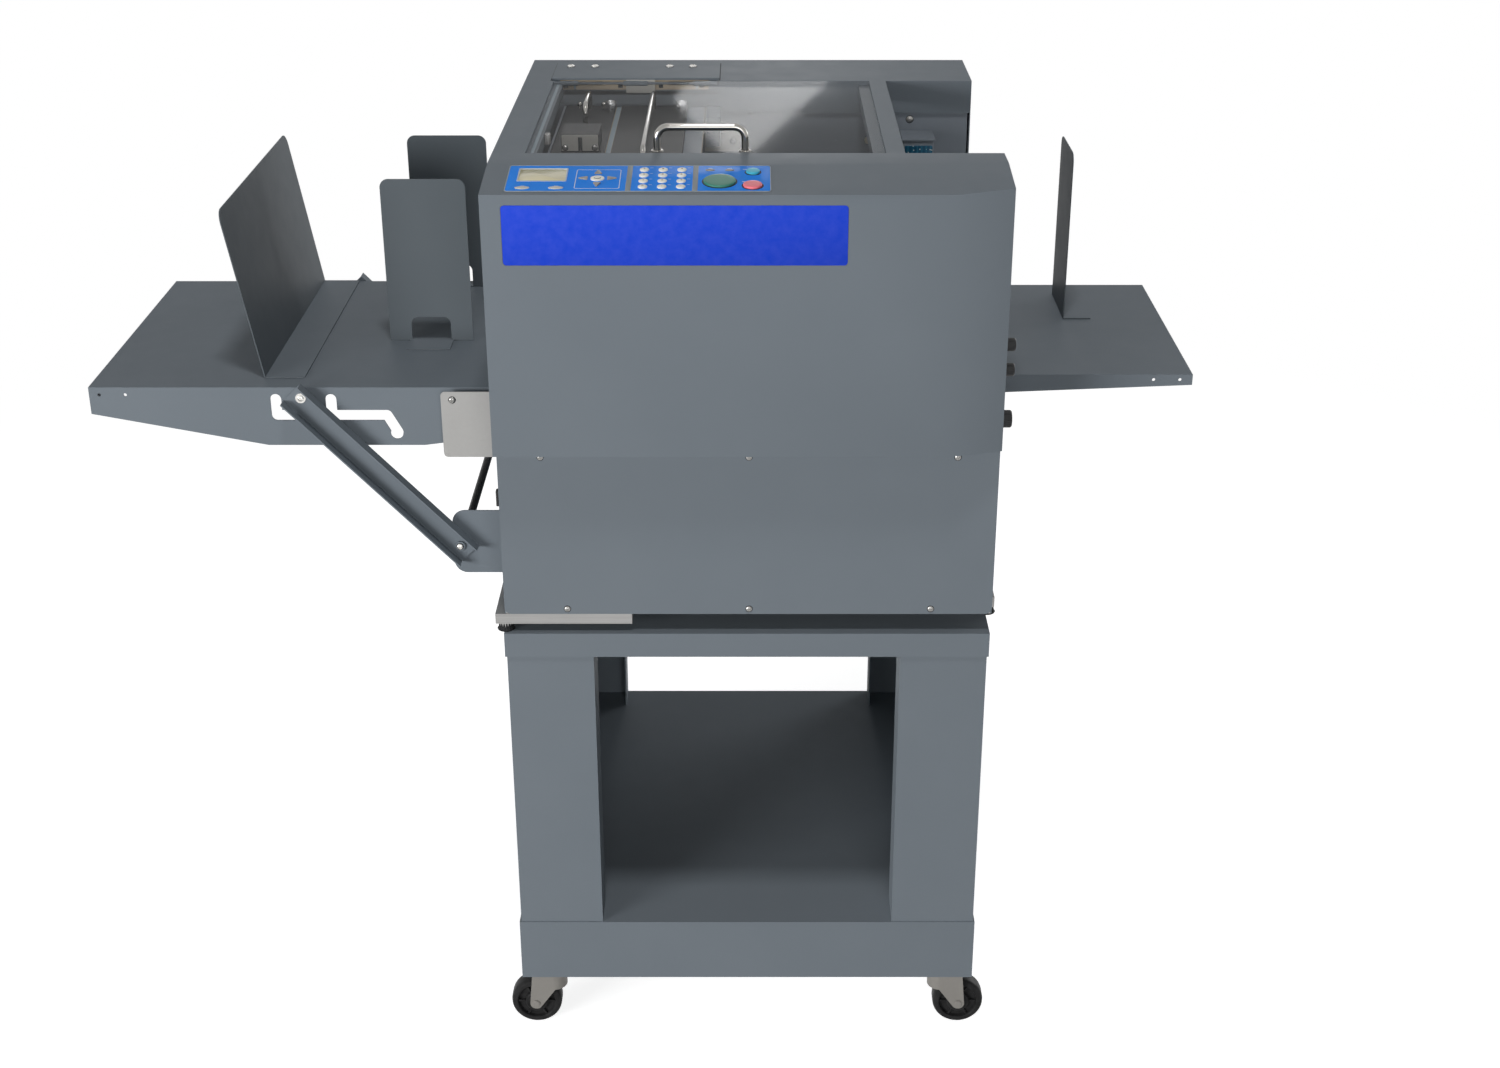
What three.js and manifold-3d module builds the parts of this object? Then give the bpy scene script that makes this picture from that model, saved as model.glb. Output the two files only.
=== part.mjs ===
import * as THREE from 'three';
import { mergeVertices } from 'three/addons/utils/BufferGeometryUtils.js';
import Module from 'manifold-3d';

// Overall places, in millimetres. The origin is on the floor under the middle of the machine
const bodyWidth = 555;
const bodyHeight = 507.9;
const overallDepth = 622;
const feedReach = 469;
const outputReach = 230;
const bodyX = (feedReach - outputReach) / 2;
const left = bodyX - bodyWidth / 2;
const right = bodyX + bodyWidth / 2;
const front = -overallDepth / 2;
const back = overallDepth / 2;

// Gaps between pieces
const fit = 0.3;
const slip = 0.5;
const overrun = 5;
const weld = 0.0001;

// Cart
const wheelDiameter = 63.5;
const cartFloorGap = 101.5;
const cartBaseHeight = 81.4;
const cartLegHeight = 364.8;
const cartTopHeight = 29.7;
const cartLegWidth = 551;
const cartDepth = 587;
const cartSetback = 25;
const cartShift = 1.5;
const cartLip = 2;
const cartSheet = 2;
const legFlange = 99.5;
const legReturn = 52;
const rearLegReturn = 40;
const cartX = bodyX - cartShift;
const baseTop = cartFloorGap + cartBaseHeight;
const legTop = baseTop + cartLegHeight;
const cartTop = legTop + cartTopHeight;
const cartFront = front + cartSetback;
const cartBack = cartFront + cartDepth;

// Casters
const casterSideInset = 31;
const casterInset = 56;
const casterTrail = 22.4;
const casterPad = [64, 64, 2.5];
const cornerPlate = 120;
const cornerRim = 18;
const wheelWidth = 24;
const wheelSides = 28;
const treadChamfer = 3;
const hubRadius = 14;
const hubProud = 1;
const rimRecess = 4;
const rimInner = 23;
const wheelBore = 4.4;
const axleRadius = 4;
const axleHead = 5;
const axleHeadHeight = 1.5;
const forkSheet = 2.5;
const forkHeadRadius = 22;
const forkHeadHeight = 9;
const forkEnd = 7.8;
const forkEndArc = [Math.PI, Math.PI * 1.79];
const forkLead = 2.2;
const forkSkirt = 46;
const forkShoulder = 2;
const forkArcSteps = 9;
const forkGap = 1;

// Machine body shell
const bodyGap = 22.3;
const bodyBottom = cartTop + bodyGap;
const bodyTop = bodyBottom + bodyHeight;
const sheet = 1.5;
const panRim = 15;
const lowerSetback = 31;
const lowerFront = front + lowerSetback;
const lowerTongue = 25;
const lowerCorner = 8;
const wellFrontInset = 130;
const wellBackInset = 127;
const wellFront = front + wellFrontInset;
const wellBack = back - wellBackInset;
const footHeight = 9.8;
const footRadius = 8;
const railReach = 39;
const leftRailOut = 11;
const rightRailOut = 8;
const crossRail = { depth: 48, reach: 145 };
const leftRailInset = 31;
const rightRailInset = 74;
const feedWindow = { frontInset: 31, backInset: 6, rise: 32.6, height: 167, corner: 6 };

// Front housing
const housingRise = 205.7;
const housingBottom = bodyBottom + housingRise;
const housingWall = 3;
const slopeDepth = 87;
const slopeDrop = 11.3;
const chamferWidth = 58.8;
const chamferDepth = 17;
const lipDepth = 8;
const platePocket = { inset: 21.6, drop: 10.9, width: 360.1, height: 64.7, corner: 4, depth: 0.6 };

// Lid and its seat
const lidThickness = 4;
const lidRearGap = 2;
const topBar = 35.9;
const ledge = 11;
const ledgeSkirt = 14;
const railWidth = 20.6;
const railLedge = 13.5;
const railInset = 127.8;
const railX = right - railInset;
const railSkirt = 22.6;
const seatZ = bodyTop - lidThickness - fit;

// Rear housing
const capHeight = 40;
const notchWidth = 209;
const notchInset = 32.5;
const notchX = left + notchInset;
const notchDepth = 12.8;
const notchDrop = 17.6;
const reliefGap = 3;
const inletWidth = 28;
const inletHeight = 20;
const inletInset = 77;
const inletRise = 55.3;
const ventCount = 9;
const ventPitch = 12;
const ventWidth = 5;
const ventHeight = 60;
const ventInset = 158;
const ventRise = 100.3;

// Lid hinge
const hingePlateDepth = 95.5;
const hingePlateSheet = 1.5;
const hingeSkirt = 15;
const hingeSetback = 4.5;
const hingeY = wellBack + hingeSetback;
const hingeSink = 0.1;
const hingeZ = bodyTop - lidThickness - hingeSink;
const knuckleRadius = 3;
const knuckleLength = 30;
const knuckleInset = 3;
const pinRadius = 1.5;
const pinBore = 1.9;
const hingeSides = 12;

// Handles
const handleRod = 4;
const lidHandleWidth = 96;
const lidHandleRise = 26.5;
const lidHandleInset = 226.5;
const lidHandleSetback = 10;
const handleBend = 12;
const handleStepShare = 2;
const unitRod = 3.2;
const unitHandleRise = 21;

// Operating strip, measured on the slope: across from the strip's left end and up from its front edge
const stripWidth = 276.5;
const stripDepth = 71;
const stripInset = 25;
const stripUp = 9;
const filmThickness = 1.2;
const keyRise = 0.8;
const numberKey = [4.8, 5.2];
const numberPitch = [19.8, 15.5];
const numbersUp = 11.9;
const arrowReach = [14.4, 16.5];
const arrowSize = 4.5;
const cursorPlace = [95, 34.7];
const centreKey = 7.3;
const menuKey = [7.8, 3.6];
const menuPlaces = [[18.3, 9.4], [53.3, 9.4]];
const smallKey = [4.8, 2.6];
const smallPlaces = [[212.5, 58], [233.1, 58]];
const numbersFrom = 143.1;
const screenPlace = [36.8, 45];
const screenSize = [50.5, 34.4];
const screenDrop = 0.5;
const buttonGap = 0.4;
const buttonRise = 2.6;
const buttonStem = 8;
const startRadius = 17;
const stopRadius = 10;
const clearRadius = 7.3;
const startPlace = [222.8, 26.5];
const stopPlace = [257.3, 15.5];
const clearPlace = [257.6, 52.3];

// Side knobs
const knobStandoff = 1;
const knobInset = 67;
const smallKnob = 7.3;
const largeKnob = 9.85;
const knobLength = 15;
const knobEdge = 1.5;
const knobStem = 3;
const knobStemLength = 14;
const knobRises = [311.3, 282.3, 224.3];

// Feed tray, its hinge and the slots of its supports
const trayRise = 242;
const trayTop = bodyBottom + trayRise;
const trayFrontOverhang = 11;
const trayBackOverhang = 23;
const trayFront = wellFront - trayFrontOverhang;
const trayDepth = wellBack + trayBackOverhang - trayFront;
const trayMid = trayFront + trayDepth / 2;
const trayClearance = 2.5;
const trayFlange = 70;
const trayTipFlange = 32;
const trayTaper = 198;
const traySwing = 54;
const traySwingSteps = 4;
const pivotReach = 57;
const pivotDrop = 11.4;
const pivotX = left - pivotReach;
const pivotZ = trayTop - pivotDrop;
const pivotStud = 4;
const studHead = 6;
const studHeadLength = 2;
const slotWidth = 12.4;
const slotNotches = [-201, -172.8, -138.5];
const slotSeat = -2.7;
const slotRun = -22;
const slotRunEnd = -76;
const slotHook = [-65, -42.5];
const slotLobe = [-66.4, -44];
const lobeRadius = 7;
const trayHoles = [11.5, 41];
const trayHoleDrop = 9;
const trayHoleRadius = 2;

// Brackets and arms of the feed tray
const bracketSheet = 1.5;
const bracketFlange = 11;
const trayBracket = { width: 69, height: 78.9, corner: 5 };
const trayBracketDrop = 0.2;
const trayBracketGap = 12.5;
const armBracket = { width: 66.5, height: 79.4, corner: 15 };
const armBracketRise = 11.6;
const armPivotReach = 58.3;
const armPivotRise = 47.6;
const armPivot = [left - armPivotReach, bodyBottom + armPivotRise];
const armPin = [pivotX + slotNotches[1], pivotZ + slotSeat];
const armWidth = 30;
const armFlange = 14.5;
const armGap = 2.8;
const armEnds = [13, 15];
const armStud = 3.7;
const armWasher = 5.85;
const stayRadius = 6;
const stayReach = 45.5;
const stayRise = 82.3;

// Stops and guides on the trays
const plate = 1.2;
const feedStop = { reach: 275.6, frontInset: 30, backInset: 1, height: 197.8, foot: 46, corner: 15, lean: 10 };
const guide = { reach: 151.8, width: 99.4, height: 197.4, corner: 10, archWidth: 47, archHeight: 30,
  archCorner: 9 };
const guideFoot = 35;
const rearGuideFoot = 20;
const guideRootLap = 2.5;
const frontGuideInset = 162;
const rearGuideInset = 24;
const outStop = { reach: 108.5, inset: 199, width: 100, height: 205, foot: 34, corner: 12 };

// Output tray
const outRise = 247.6;
const outTop = bodyBottom + outRise;
const outFrontInset = 16;
const outBackInset = 11;
const outFront = wellFront + outFrontInset;
const outDepth = wellBack - outBackInset - outFront;
const outInnerInset = 192;
const outInnerX = right - outInnerInset;
const outFlange = 22;
const outTipFlange = 12.5;
const outEars = [35, 145];
const outEarWidth = 22;
const outHoles = [44.4, 14.3];

// Inner frames
const framePlate = 3;
const frontFrameTop = bodyTop - railSkirt;
const rearFrameGap = 3;
const rearFrameDrop = 19.6;
const frameSideGap = 0.3;

// Paper path: it leaves the feed level at pathX and climbs by pathAngle. Places along it are measured
// from there, heights are square to the sheet
const pathInset = 48;
const pathX = left + pathInset;
const pathRise = 1;
const pathZ = trayTop + pathRise;
const pathAngle = 22 * Math.PI / 180;
const guideDrop = 1;
const guideEndGap = 5;
const stackWallInset = 27;
const stackWallRise = 158.3;
const stackWallGap = 3.3;
const stackEar = 6;
const windowFrontInset = 31;
const windowBackInset = 24;
const windowFront = wellFront + windowFrontInset;
const windowBack = wellBack - windowBackInset;
const windowMargin = 5;
const feedWindowShare = 0.62;
const nipWindowShare = 0.9;

// Rollers
const rollerSides = 20;
const rollerRadius = 13;
const feedRadius = 18;
const shaftRadius = 5;
const shaftHole = 5.4;
const nipHalfGap = 0.2;
const feedRollerInset = 30;
const feedProud = 0.8;
const intakeAt = 44;
const creaseAt = 150;
const exitAt = 318;
const guideLength = exitAt - rollerRadius - guideEndGap;
const pulleyRadius = 12;
const pulleyWidth = 8;
const pulleyGap = 4;
const flangeRadius = 14.5;
const beltGap = 0.4;
const beltThickness = 1.4;

// Creasing mechanism
const dieWidth = 30;
const dieHeight = 24;
const dieDrop = 0.6;
const dieEndDrop = 4;
const grooveWidth = 2;
const grooveDepth = 1.6;
const bladeLift = 3;
const bladeEdge = 1;
const bladeHeight = 6;
const beamWidth = 16;
const beamTop = 70;
const camStroke = 4;
const camGap = 0.7;
const camRadius = 16;
const camWidth = 12;
const camSides = 32;
const camInsets = [61, 67];
const camYs = [wellFront + camInsets[0], wellBack - camInsets[1]];
const camShaftRadius = 7;
const camShaftHole = 7.5;
const gearModule = 2.5;
const camGearTeeth = 32;
const pinionTeeth = 12;
const gearBacklash = 0.5;
const gearGap = 3;
const gearWidth = 10;
const toothRootShare = 0.56;
const toothTipShare = 0.2;
const toothRiseShare = 0.8;
const motorRadius = 30;
const motorLength = 70;
const motorPlate = { left: 30, right: 46, half: 54, thickness: 3 };
const motorPosts = [[-22, -46], [-22, 46], [38, -46], [38, 46]];
const motorPostRadius = 4;
const motorShaft = 4;
const motorShaftBore = 4.5;
const motorBoreDepth = 10;

// Unit covers under the lid
const unitDrop = 31.6;
const unitTop = bodyTop - unitDrop;
const unitSheet = 1.5;
const intakeUnit = { inset: 50.6, width: 62.1, depth: 60 };
const creaseUnit = { inset: 120, width: 81.8, depth: 76 };
const intakeHandle = { inset: 30.1, length: 76 };
const creaseHandle = { inset: 40, frontInset: 61 };
const handleBackInset = 14;
const unitBlock = { inset: 12.7, handleGap: 87, width: 42.9, length: 55, height: 20 };

const wasm = await Module();
wasm.setup();

// A closed mesh as a solid that can be cut and joined
function solid(geometry) {
  geometry.deleteAttribute('normal');
  geometry.deleteAttribute('uv');
  const merged = mergeVertices(geometry, weld);
  const vertProperties = new Float32Array(merged.attributes.position.array);
  const triVerts = new Uint32Array(merged.index.array);
  return new wasm.Manifold(new wasm.Mesh({ numProp: 3, vertProperties, triVerts }));
}

function surface(body) {
  const mesh = body.getMesh();
  const geometry = new THREE.BufferGeometry();
  geometry.setAttribute('position', new THREE.BufferAttribute(mesh.vertProperties, 3));
  geometry.setIndex(new THREE.BufferAttribute(mesh.triVerts, 1));
  geometry.computeVertexNormals();
  return geometry;
}

function join(...bodies) {
  return bodies.reduce((whole, body) => whole.add(body));
}

function cut(body, ...tools) {
  return tools.reduce((rest, tool) => rest.subtract(tool), body);
}

function block(x0, x1, y0, y1, z0, z1) {
  const box = new THREE.BoxGeometry(Math.abs(x1 - x0), Math.abs(y1 - y0), Math.abs(z1 - z0));
  box.translate((x0 + x1) / 2, (y0 + y1) / 2, (z0 + z1) / 2);
  return solid(box);
}

// An outline in XZ, drawn out along Y
function alongY(shape, y0, y1, curveSegments = 5) {
  const depth = Math.abs(y1 - y0);
  const drawn = new THREE.ExtrudeGeometry(shape, { depth, bevelEnabled: false, curveSegments });
  drawn.rotateX(Math.PI / 2);
  drawn.translate(0, Math.max(y0, y1), 0);
  return solid(drawn);
}

// An outline in YZ, drawn out along X
function alongX(shape, x0, x1, curveSegments = 5) {
  const depth = Math.abs(x1 - x0);
  const drawn = new THREE.ExtrudeGeometry(shape, { depth, bevelEnabled: false, curveSegments });
  const turn = new THREE.Matrix4().makeBasis(
    new THREE.Vector3(0, 1, 0), new THREE.Vector3(0, 0, 1), new THREE.Vector3(1, 0, 0));
  drawn.applyMatrix4(turn);
  drawn.translate(Math.min(x0, x1), 0, 0);
  return solid(drawn);
}

// An outline in XY, drawn out along Z
function alongZ(shape, z0, z1, curveSegments = 5) {
  const depth = Math.abs(z1 - z0);
  const drawn = new THREE.ExtrudeGeometry(shape, { depth, bevelEnabled: false, curveSegments });
  drawn.translate(0, 0, Math.min(z0, z1));
  return solid(drawn);
}

function cylinderY(x, z, radius, y0, y1, sides = rollerSides) {
  const drum = new THREE.CylinderGeometry(radius, radius, Math.abs(y1 - y0), sides);
  drum.translate(x, (y0 + y1) / 2, z);
  return solid(drum);
}

function cylinderX(y, z, radius, x0, x1, sides = hingeSides) {
  const drum = new THREE.CylinderGeometry(radius, radius, Math.abs(x1 - x0), sides);
  drum.rotateZ(Math.PI / 2);
  drum.translate((x0 + x1) / 2, y, z);
  return solid(drum);
}

function cylinderZ(x, y, radius, z0, z1, sides = rollerSides) {
  const drum = new THREE.CylinderGeometry(radius, radius, Math.abs(z1 - z0), sides);
  drum.rotateX(Math.PI / 2);
  drum.translate(x, y, (z0 + z1) / 2);
  return solid(drum);
}

function outline(points) {
  return new THREE.Shape(points.map(([a, b]) => new THREE.Vector2(a, b)));
}

// A rectangle with its own radius at each corner: low left, low right, high right, high left
function plateOutline(a0, a1, b0, b1, radii) {
  const [lowLeft, lowRight, highRight, highLeft] = radii;
  const shape = new THREE.Shape();
  shape.moveTo(a0 + lowLeft, b0);
  shape.lineTo(a1 - lowRight, b0);
  if (lowRight) shape.absarc(a1 - lowRight, b0 + lowRight, lowRight, -Math.PI / 2, 0);
  shape.lineTo(a1, b1 - highRight);
  if (highRight) shape.absarc(a1 - highRight, b1 - highRight, highRight, 0, Math.PI / 2);
  shape.lineTo(a0 + highLeft, b1);
  if (highLeft) shape.absarc(a0 + highLeft, b1 - highLeft, highLeft, Math.PI / 2, Math.PI);
  shape.lineTo(a0, b0 + lowLeft);
  if (lowLeft) shape.absarc(a0 + lowLeft, b0 + lowLeft, lowLeft, Math.PI, Math.PI * 1.5);
  return shape;
}

// The section of a bent sheet: a path with its thickness laid to its left, or to its right if negative
function bentSheet(points, thickness) {
  const path = points.map(([a, b]) => new THREE.Vector2(a, b));
  const normals = path.slice(1).map((point, i) => {
    const along = point.clone().sub(path[i]).normalize();
    return new THREE.Vector2(-along.y, along.x);
  });
  const inner = path.map((point, i) => {
    const before = normals[Math.max(i - 1, 0)];
    const after = normals[Math.min(i, normals.length - 1)];
    const sum = before.clone().add(after);
    return point.clone().addScaledVector(sum, thickness / (1 + before.dot(after)));
  });
  return new THREE.Shape([...path, ...inner.reverse()]);
}

// A slot with round ends between two points
function slotOutline([a0, b0], [a1, b1], radius) {
  const turn = Math.atan2(b1 - b0, a1 - a0);
  const shape = new THREE.Shape();
  shape.absarc(a1, b1, radius, turn - Math.PI / 2, turn + Math.PI / 2);
  shape.absarc(a0, b0, radius, turn + Math.PI / 2, turn + Math.PI * 1.5);
  return shape;
}

// A round bar bent to a handle: two feet and a straight grip
function handleBar(from, to, rise, bend, radius) {
  const up = new THREE.Vector3(0, 0, rise);
  const along = to.clone().sub(from).normalize().multiplyScalar(bend);
  const down = new THREE.Vector3(0, 0, -bend);
  const topFrom = from.clone().add(up);
  const topTo = to.clone().add(up);
  const path = new THREE.CurvePath();
  path.add(new THREE.LineCurve3(from, topFrom.clone().add(down)));
  path.add(new THREE.QuadraticBezierCurve3(topFrom.clone().add(down), topFrom, topFrom.clone().add(along)));
  path.add(new THREE.LineCurve3(topFrom.clone().add(along), topTo.clone().sub(along)));
  path.add(new THREE.QuadraticBezierCurve3(topTo.clone().sub(along), topTo, topTo.clone().add(down)));
  path.add(new THREE.LineCurve3(topTo.clone().add(down), to));
  const section = new THREE.Shape();
  section.absarc(0, 0, radius, 0, Math.PI * 2);
  const steps = Math.round(path.getLength() / (radius * handleStepShare));
  return solid(new THREE.ExtrudeGeometry(section, { steps, extrudePath: path, curveSegments: 5 }));
}

const colours = {
  body: [0x6f777e, 0.55, 0.1],
  dark: [0x50565b, 0.55, 0.1],
  bright: [0xa9a7a2, 0.4, 0.8],
  chrome: [0xd8d8d6, 0.12, 1],
  black: [0x151618, 0.5, 0],
  film: [0x2f7ef0, 0.4, 0],
  smoked: [0x49525a, 0.1, 0],
  green: [0x2d7a66, 0.35, 0],
  red: [0xe65a68, 0.35, 0],
  teal: [0x2a9fb0, 0.35, 0],
  steel: [0x9a9c9e, 0.3, 1],
};

const machine = new THREE.Group();

function piece(name, body, finish, group = machine) {
  const [color, roughness, metalness] = colours[finish];
  const mesh = new THREE.Mesh(surface(body), new THREE.MeshStandardMaterial({ color, roughness, metalness }));
  mesh.name = name;
  group.add(mesh);
  return mesh;
}

// Cart base: a tray turned over, with corner plates and pads for the casters
const padBottom = cartFloorGap - casterPad[2];
const baseHalf = cartLegWidth / 2 + cartLip;
const casterHalf = cartLegWidth / 2 - casterSideInset;
const casterXs = [cartX - casterHalf, cartX + casterHalf];
const casterYs = [cartFront + casterInset, cartBack - casterInset];

function cartBase() {
  const x0 = cartX - baseHalf;
  const x1 = cartX + baseHalf;
  const shell = block(x0, x1, cartFront, cartBack, cartFloorGap, baseTop);
  const hollow = block(x0 + cartSheet, x1 - cartSheet, cartFront + cartSheet, cartBack - cartSheet,
    cartFloorGap + cartSheet, baseTop - cartSheet);
  const mouth = block(x0 + cornerPlate, x1 - cornerPlate, cartFront + cornerRim, cartBack - cornerRim,
    cartFloorGap - overrun, cartFloorGap + overrun);
  const pads = casterXs.flatMap((x) => casterYs.map((y) => block(x - casterPad[0] / 2, x + casterPad[0] / 2,
    y - casterPad[1] / 2, y + casterPad[1] / 2, padBottom, cartFloorGap)));
  return join(cut(shell, hollow, mouth), ...pads);
}
piece('cart_base', cartBase(), 'body');

// Cart frame: two folded sides under a top tray
function cartSide(sign) {
  const outer = cartX + sign * cartLegWidth / 2;
  const inner = outer - sign * legFlange;
  const legFront = cartFront + cartSheet;
  const legBack = cartBack - cartSheet;
  const path = [[inner, legFront + legReturn], [inner, legFront], [outer, legFront], [outer, legBack],
    [inner, legBack], [inner, legBack - rearLegReturn]];
  return alongZ(bentSheet(path, sign * cartSheet), baseTop, cartTop - cartSheet);
}

function cartFrame() {
  const x0 = cartX - baseHalf;
  const x1 = cartX + baseHalf;
  const tray = cut(block(x0, x1, cartFront, cartBack, legTop, cartTop),
    block(x0 + cartSheet, x1 - cartSheet, cartFront + cartSheet, cartBack - cartSheet,
      legTop - overrun, cartTop - cartSheet));
  return join(tray, cartSide(-1), cartSide(1));
}
piece('cart_frame', cartFrame(), 'body');

// Casters: the wheel trails behind the swivel, so each one is built trailing to -X and turned
const axleZ = wheelDiameter / 2;
const forkTop = padBottom - fit;
const legGap = wheelWidth / 2 + hubProud + forkGap;

function forkPlan(radius) {
  const plan = new THREE.Shape();
  plan.moveTo(-casterTrail - wheelDiameter, -radius);
  plan.lineTo(0, -radius);
  plan.absarc(0, 0, radius, -Math.PI / 2, Math.PI / 2);
  plan.lineTo(-casterTrail - wheelDiameter, radius);
  return plan;
}

// Fork: one sheet, folded round the swivel into a rounded back and two tapered cheeks, under a round head
function casterFork() {
  const outer = legGap + forkSheet;
  const headBottom = forkTop - forkHeadHeight;
  const crown = headBottom + forkHeadHeight / 2;
  const head = cylinderZ(0, 0, forkHeadRadius, headBottom, forkTop);
  const side = new THREE.Shape();
  side.moveTo(outer, forkTop - forkSkirt);
  side.lineTo(outer, crown);
  side.lineTo(-casterTrail - forkLead, crown);
  side.lineTo(-casterTrail - forkEnd, axleZ);
  side.absarc(-casterTrail, axleZ, forkEnd, ...forkEndArc);
  side.lineTo(forkShoulder, forkTop - forkSkirt);
  const hull = alongZ(forkPlan(outer), 0, forkTop, forkArcSteps);
  const hollow = alongZ(forkPlan(legGap), 0, headBottom, forkArcSteps);
  const sheetMetal = cut(alongY(side, -outer, outer).intersect(hull), hollow);
  const axle = cylinderY(-casterTrail, axleZ, axleRadius, -outer, outer);
  const heads = [-1, 1].map((s) => cylinderY(-casterTrail, axleZ, axleHead,
    s * outer, s * (outer + axleHeadHeight)));
  return join(head, sheetMetal, axle, ...heads);
}

function casterWheel() {
  const half = wheelWidth / 2;
  const outer = wheelDiameter / 2;
  const profile = [[wheelBore, -half - hubProud], [hubRadius, -half - hubProud],
    [hubRadius, -half + rimRecess], [rimInner, -half + rimRecess],
    [rimInner, -half], [outer - treadChamfer, -half],
    [outer, -half + treadChamfer], [outer, half - treadChamfer], [outer - treadChamfer, half],
    [rimInner, half], [rimInner, half - rimRecess], [hubRadius, half - rimRecess],
    [hubRadius, half + hubProud], [wheelBore, half + hubProud], [wheelBore, -half - hubProud]];
  const wheel = new THREE.LatheGeometry(profile.map(([r, h]) => new THREE.Vector2(r, h)), wheelSides);
  wheel.translate(-casterTrail, 0, axleZ);
  return solid(wheel);
}

const casterSpots = [
  ['front_left', casterXs[0], casterYs[0], 0],
  ['front_right', casterXs[1], casterYs[0], Math.PI],
  ['rear_left', casterXs[0], casterYs[1], 0],
  ['rear_right', casterXs[1], casterYs[1], Math.PI],
];
for (const [corner, x, y, turn] of casterSpots) {
  const caster = new THREE.Group();
  caster.position.set(x, y, 0);
  caster.rotation.z = turn;
  piece(`caster_fork_${corner}`, casterFork(), 'bright', caster);
  piece(`caster_wheel_${corner}`, casterWheel(), 'black', caster);
  machine.add(caster);
}

// Foot rails, each with two round feet. A foot stands on the edge of the cart's top, and its rail
// reaches from the foot to under the machine's side
const footShift = cartShift;
const leftFootX = cartX - baseHalf + footShift;
const rightFootX = cartX + baseHalf + footShift;
const leftRailY = overallDepth / 2 - leftRailInset;
const rightRailY = overallDepth / 2 - rightRailInset;

function footRail(x0, x1, y0, y1, footX, footInset) {
  const bottom = cartTop + footHeight;
  const feet = [y0 + footInset, y1 - footInset].map((y) => cylinderZ(footX, y, footRadius, cartTop, bottom));
  return join(block(x0, x1, y0, y1, bottom, bodyBottom), ...feet);
}
const leftRail = join(
  footRail(Math.min(left, leftFootX) - leftRailOut, Math.max(left, leftFootX) + railReach - leftRailOut,
    -leftRailY, leftRailY, leftFootX, footRadius + slip),
  block(left, left + crossRail.reach, -leftRailY, crossRail.depth - leftRailY,
    cartTop + footHeight, bodyBottom));
piece('left_foot_rail', leftRail, 'bright');
piece('right_foot_rail', footRail(Math.min(right, rightFootX) + rightRailOut - railReach,
  Math.max(right, rightFootX) + rightRailOut, -rightRailY, rightRailY,
  rightFootX, footRadius + slip), 'bright');

// Base pan
const shellBack = back - sheet;
const panFront = lowerFront + sheet;
const basePan = cut(
  block(left + sheet, right - sheet, panFront, shellBack, bodyBottom, bodyBottom + panRim),
  block(left + sheet * 2, right - sheet * 2, panFront + sheet, shellBack - sheet,
    bodyBottom + sheet, bodyBottom + panRim + overrun));
piece('base_pan', basePan, 'bright');
const panTop = bodyBottom + sheet;

// Lower front cover, with a tongue that goes up behind the front housing
const lowerCover = join(
  alongY(plateOutline(left, right, bodyBottom, housingBottom, [lowerCorner, lowerCorner, 0, 0]),
    lowerFront, panFront),
  block(left + housingWall + slip, right - housingWall - slip, lowerFront, panFront,
    housingBottom - sheet, housingBottom + lowerTongue));
piece('lower_front_cover', lowerCover, 'body');

// Side covers. The left one carries the fixed bar and the lid's ledge above the feed window
const coverFront = panFront + fit;

function leftCover() {
  const side = alongX(outline([[coverFront, bodyBottom], [wellBack, bodyBottom], [wellBack, bodyTop],
    [wellFront, bodyTop], [wellFront, housingBottom - fit], [coverFront, housingBottom - fit]]),
  left, left + sheet);
  const { frontInset, backInset, rise, height, corner } = feedWindow;
  const window = alongX(plateOutline(wellFront + frontInset, wellBack - backInset,
    housingBottom + rise, housingBottom + rise + height,
    [corner, corner, corner, corner]), left - overrun, left + overrun);
  const inner = left + topBar + ledge;
  const bar = bentSheet([[left, bodyTop - ledgeSkirt], [left, bodyTop], [left + topBar, bodyTop],
    [left + topBar, seatZ], [inner, seatZ], [inner, seatZ - ledgeSkirt]], -sheet);
  return join(cut(side, window), alongY(bar, wellFront, wellBack));
}
piece('left_side_cover', leftCover(), 'body');

const rightCoverTop = outTop - outFlange - slip;
const rightCover = alongX(outline([[coverFront, bodyBottom], [wellBack, bodyBottom],
  [wellBack, rightCoverTop], [wellFront, rightCoverTop],
  [wellFront, housingBottom - fit], [coverFront, housingBottom - fit]]),
right - sheet, right);
piece('right_side_cover', rightCover, 'body');

// Front housing: a moulded shell, open at the back, with a sloped top and a chamfered right end
const knobY = front + knobInset;
const slopeFrontZ = bodyTop - slopeDrop;
const slopeBackY = front + slopeDepth;
const slopeAngle = Math.atan2(slopeDrop, slopeDepth);
const strip = new THREE.Group();
strip.position.set(left + stripInset, front, slopeFrontZ);
strip.rotation.x = slopeAngle;
strip.updateMatrix();

function onStrip(body) {
  return body.transform(strip.matrix.elements);
}

const buttons = [
  ['start_button', startPlace, startRadius, 'green'],
  ['stop_button', stopPlace, stopRadius, 'red'],
  ['clear_button', clearPlace, clearRadius, 'teal'],
];

function buttonHoles(z0, z1) {
  return buttons.map(([, [x, up], radius]) => cylinderZ(x, stripUp + up, radius + buttonGap, z0, z1));
}

// Shallow pocket that the bare name plate lies in
function plateBed() {
  const { inset, drop, width, height, corner, depth } = platePocket;
  const x = left + inset;
  const top = slopeFrontZ - drop;
  return alongY(plateOutline(x, x + width, top - height, top, [corner, corner, corner, corner]),
    front - overrun, front + depth);
}

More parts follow.
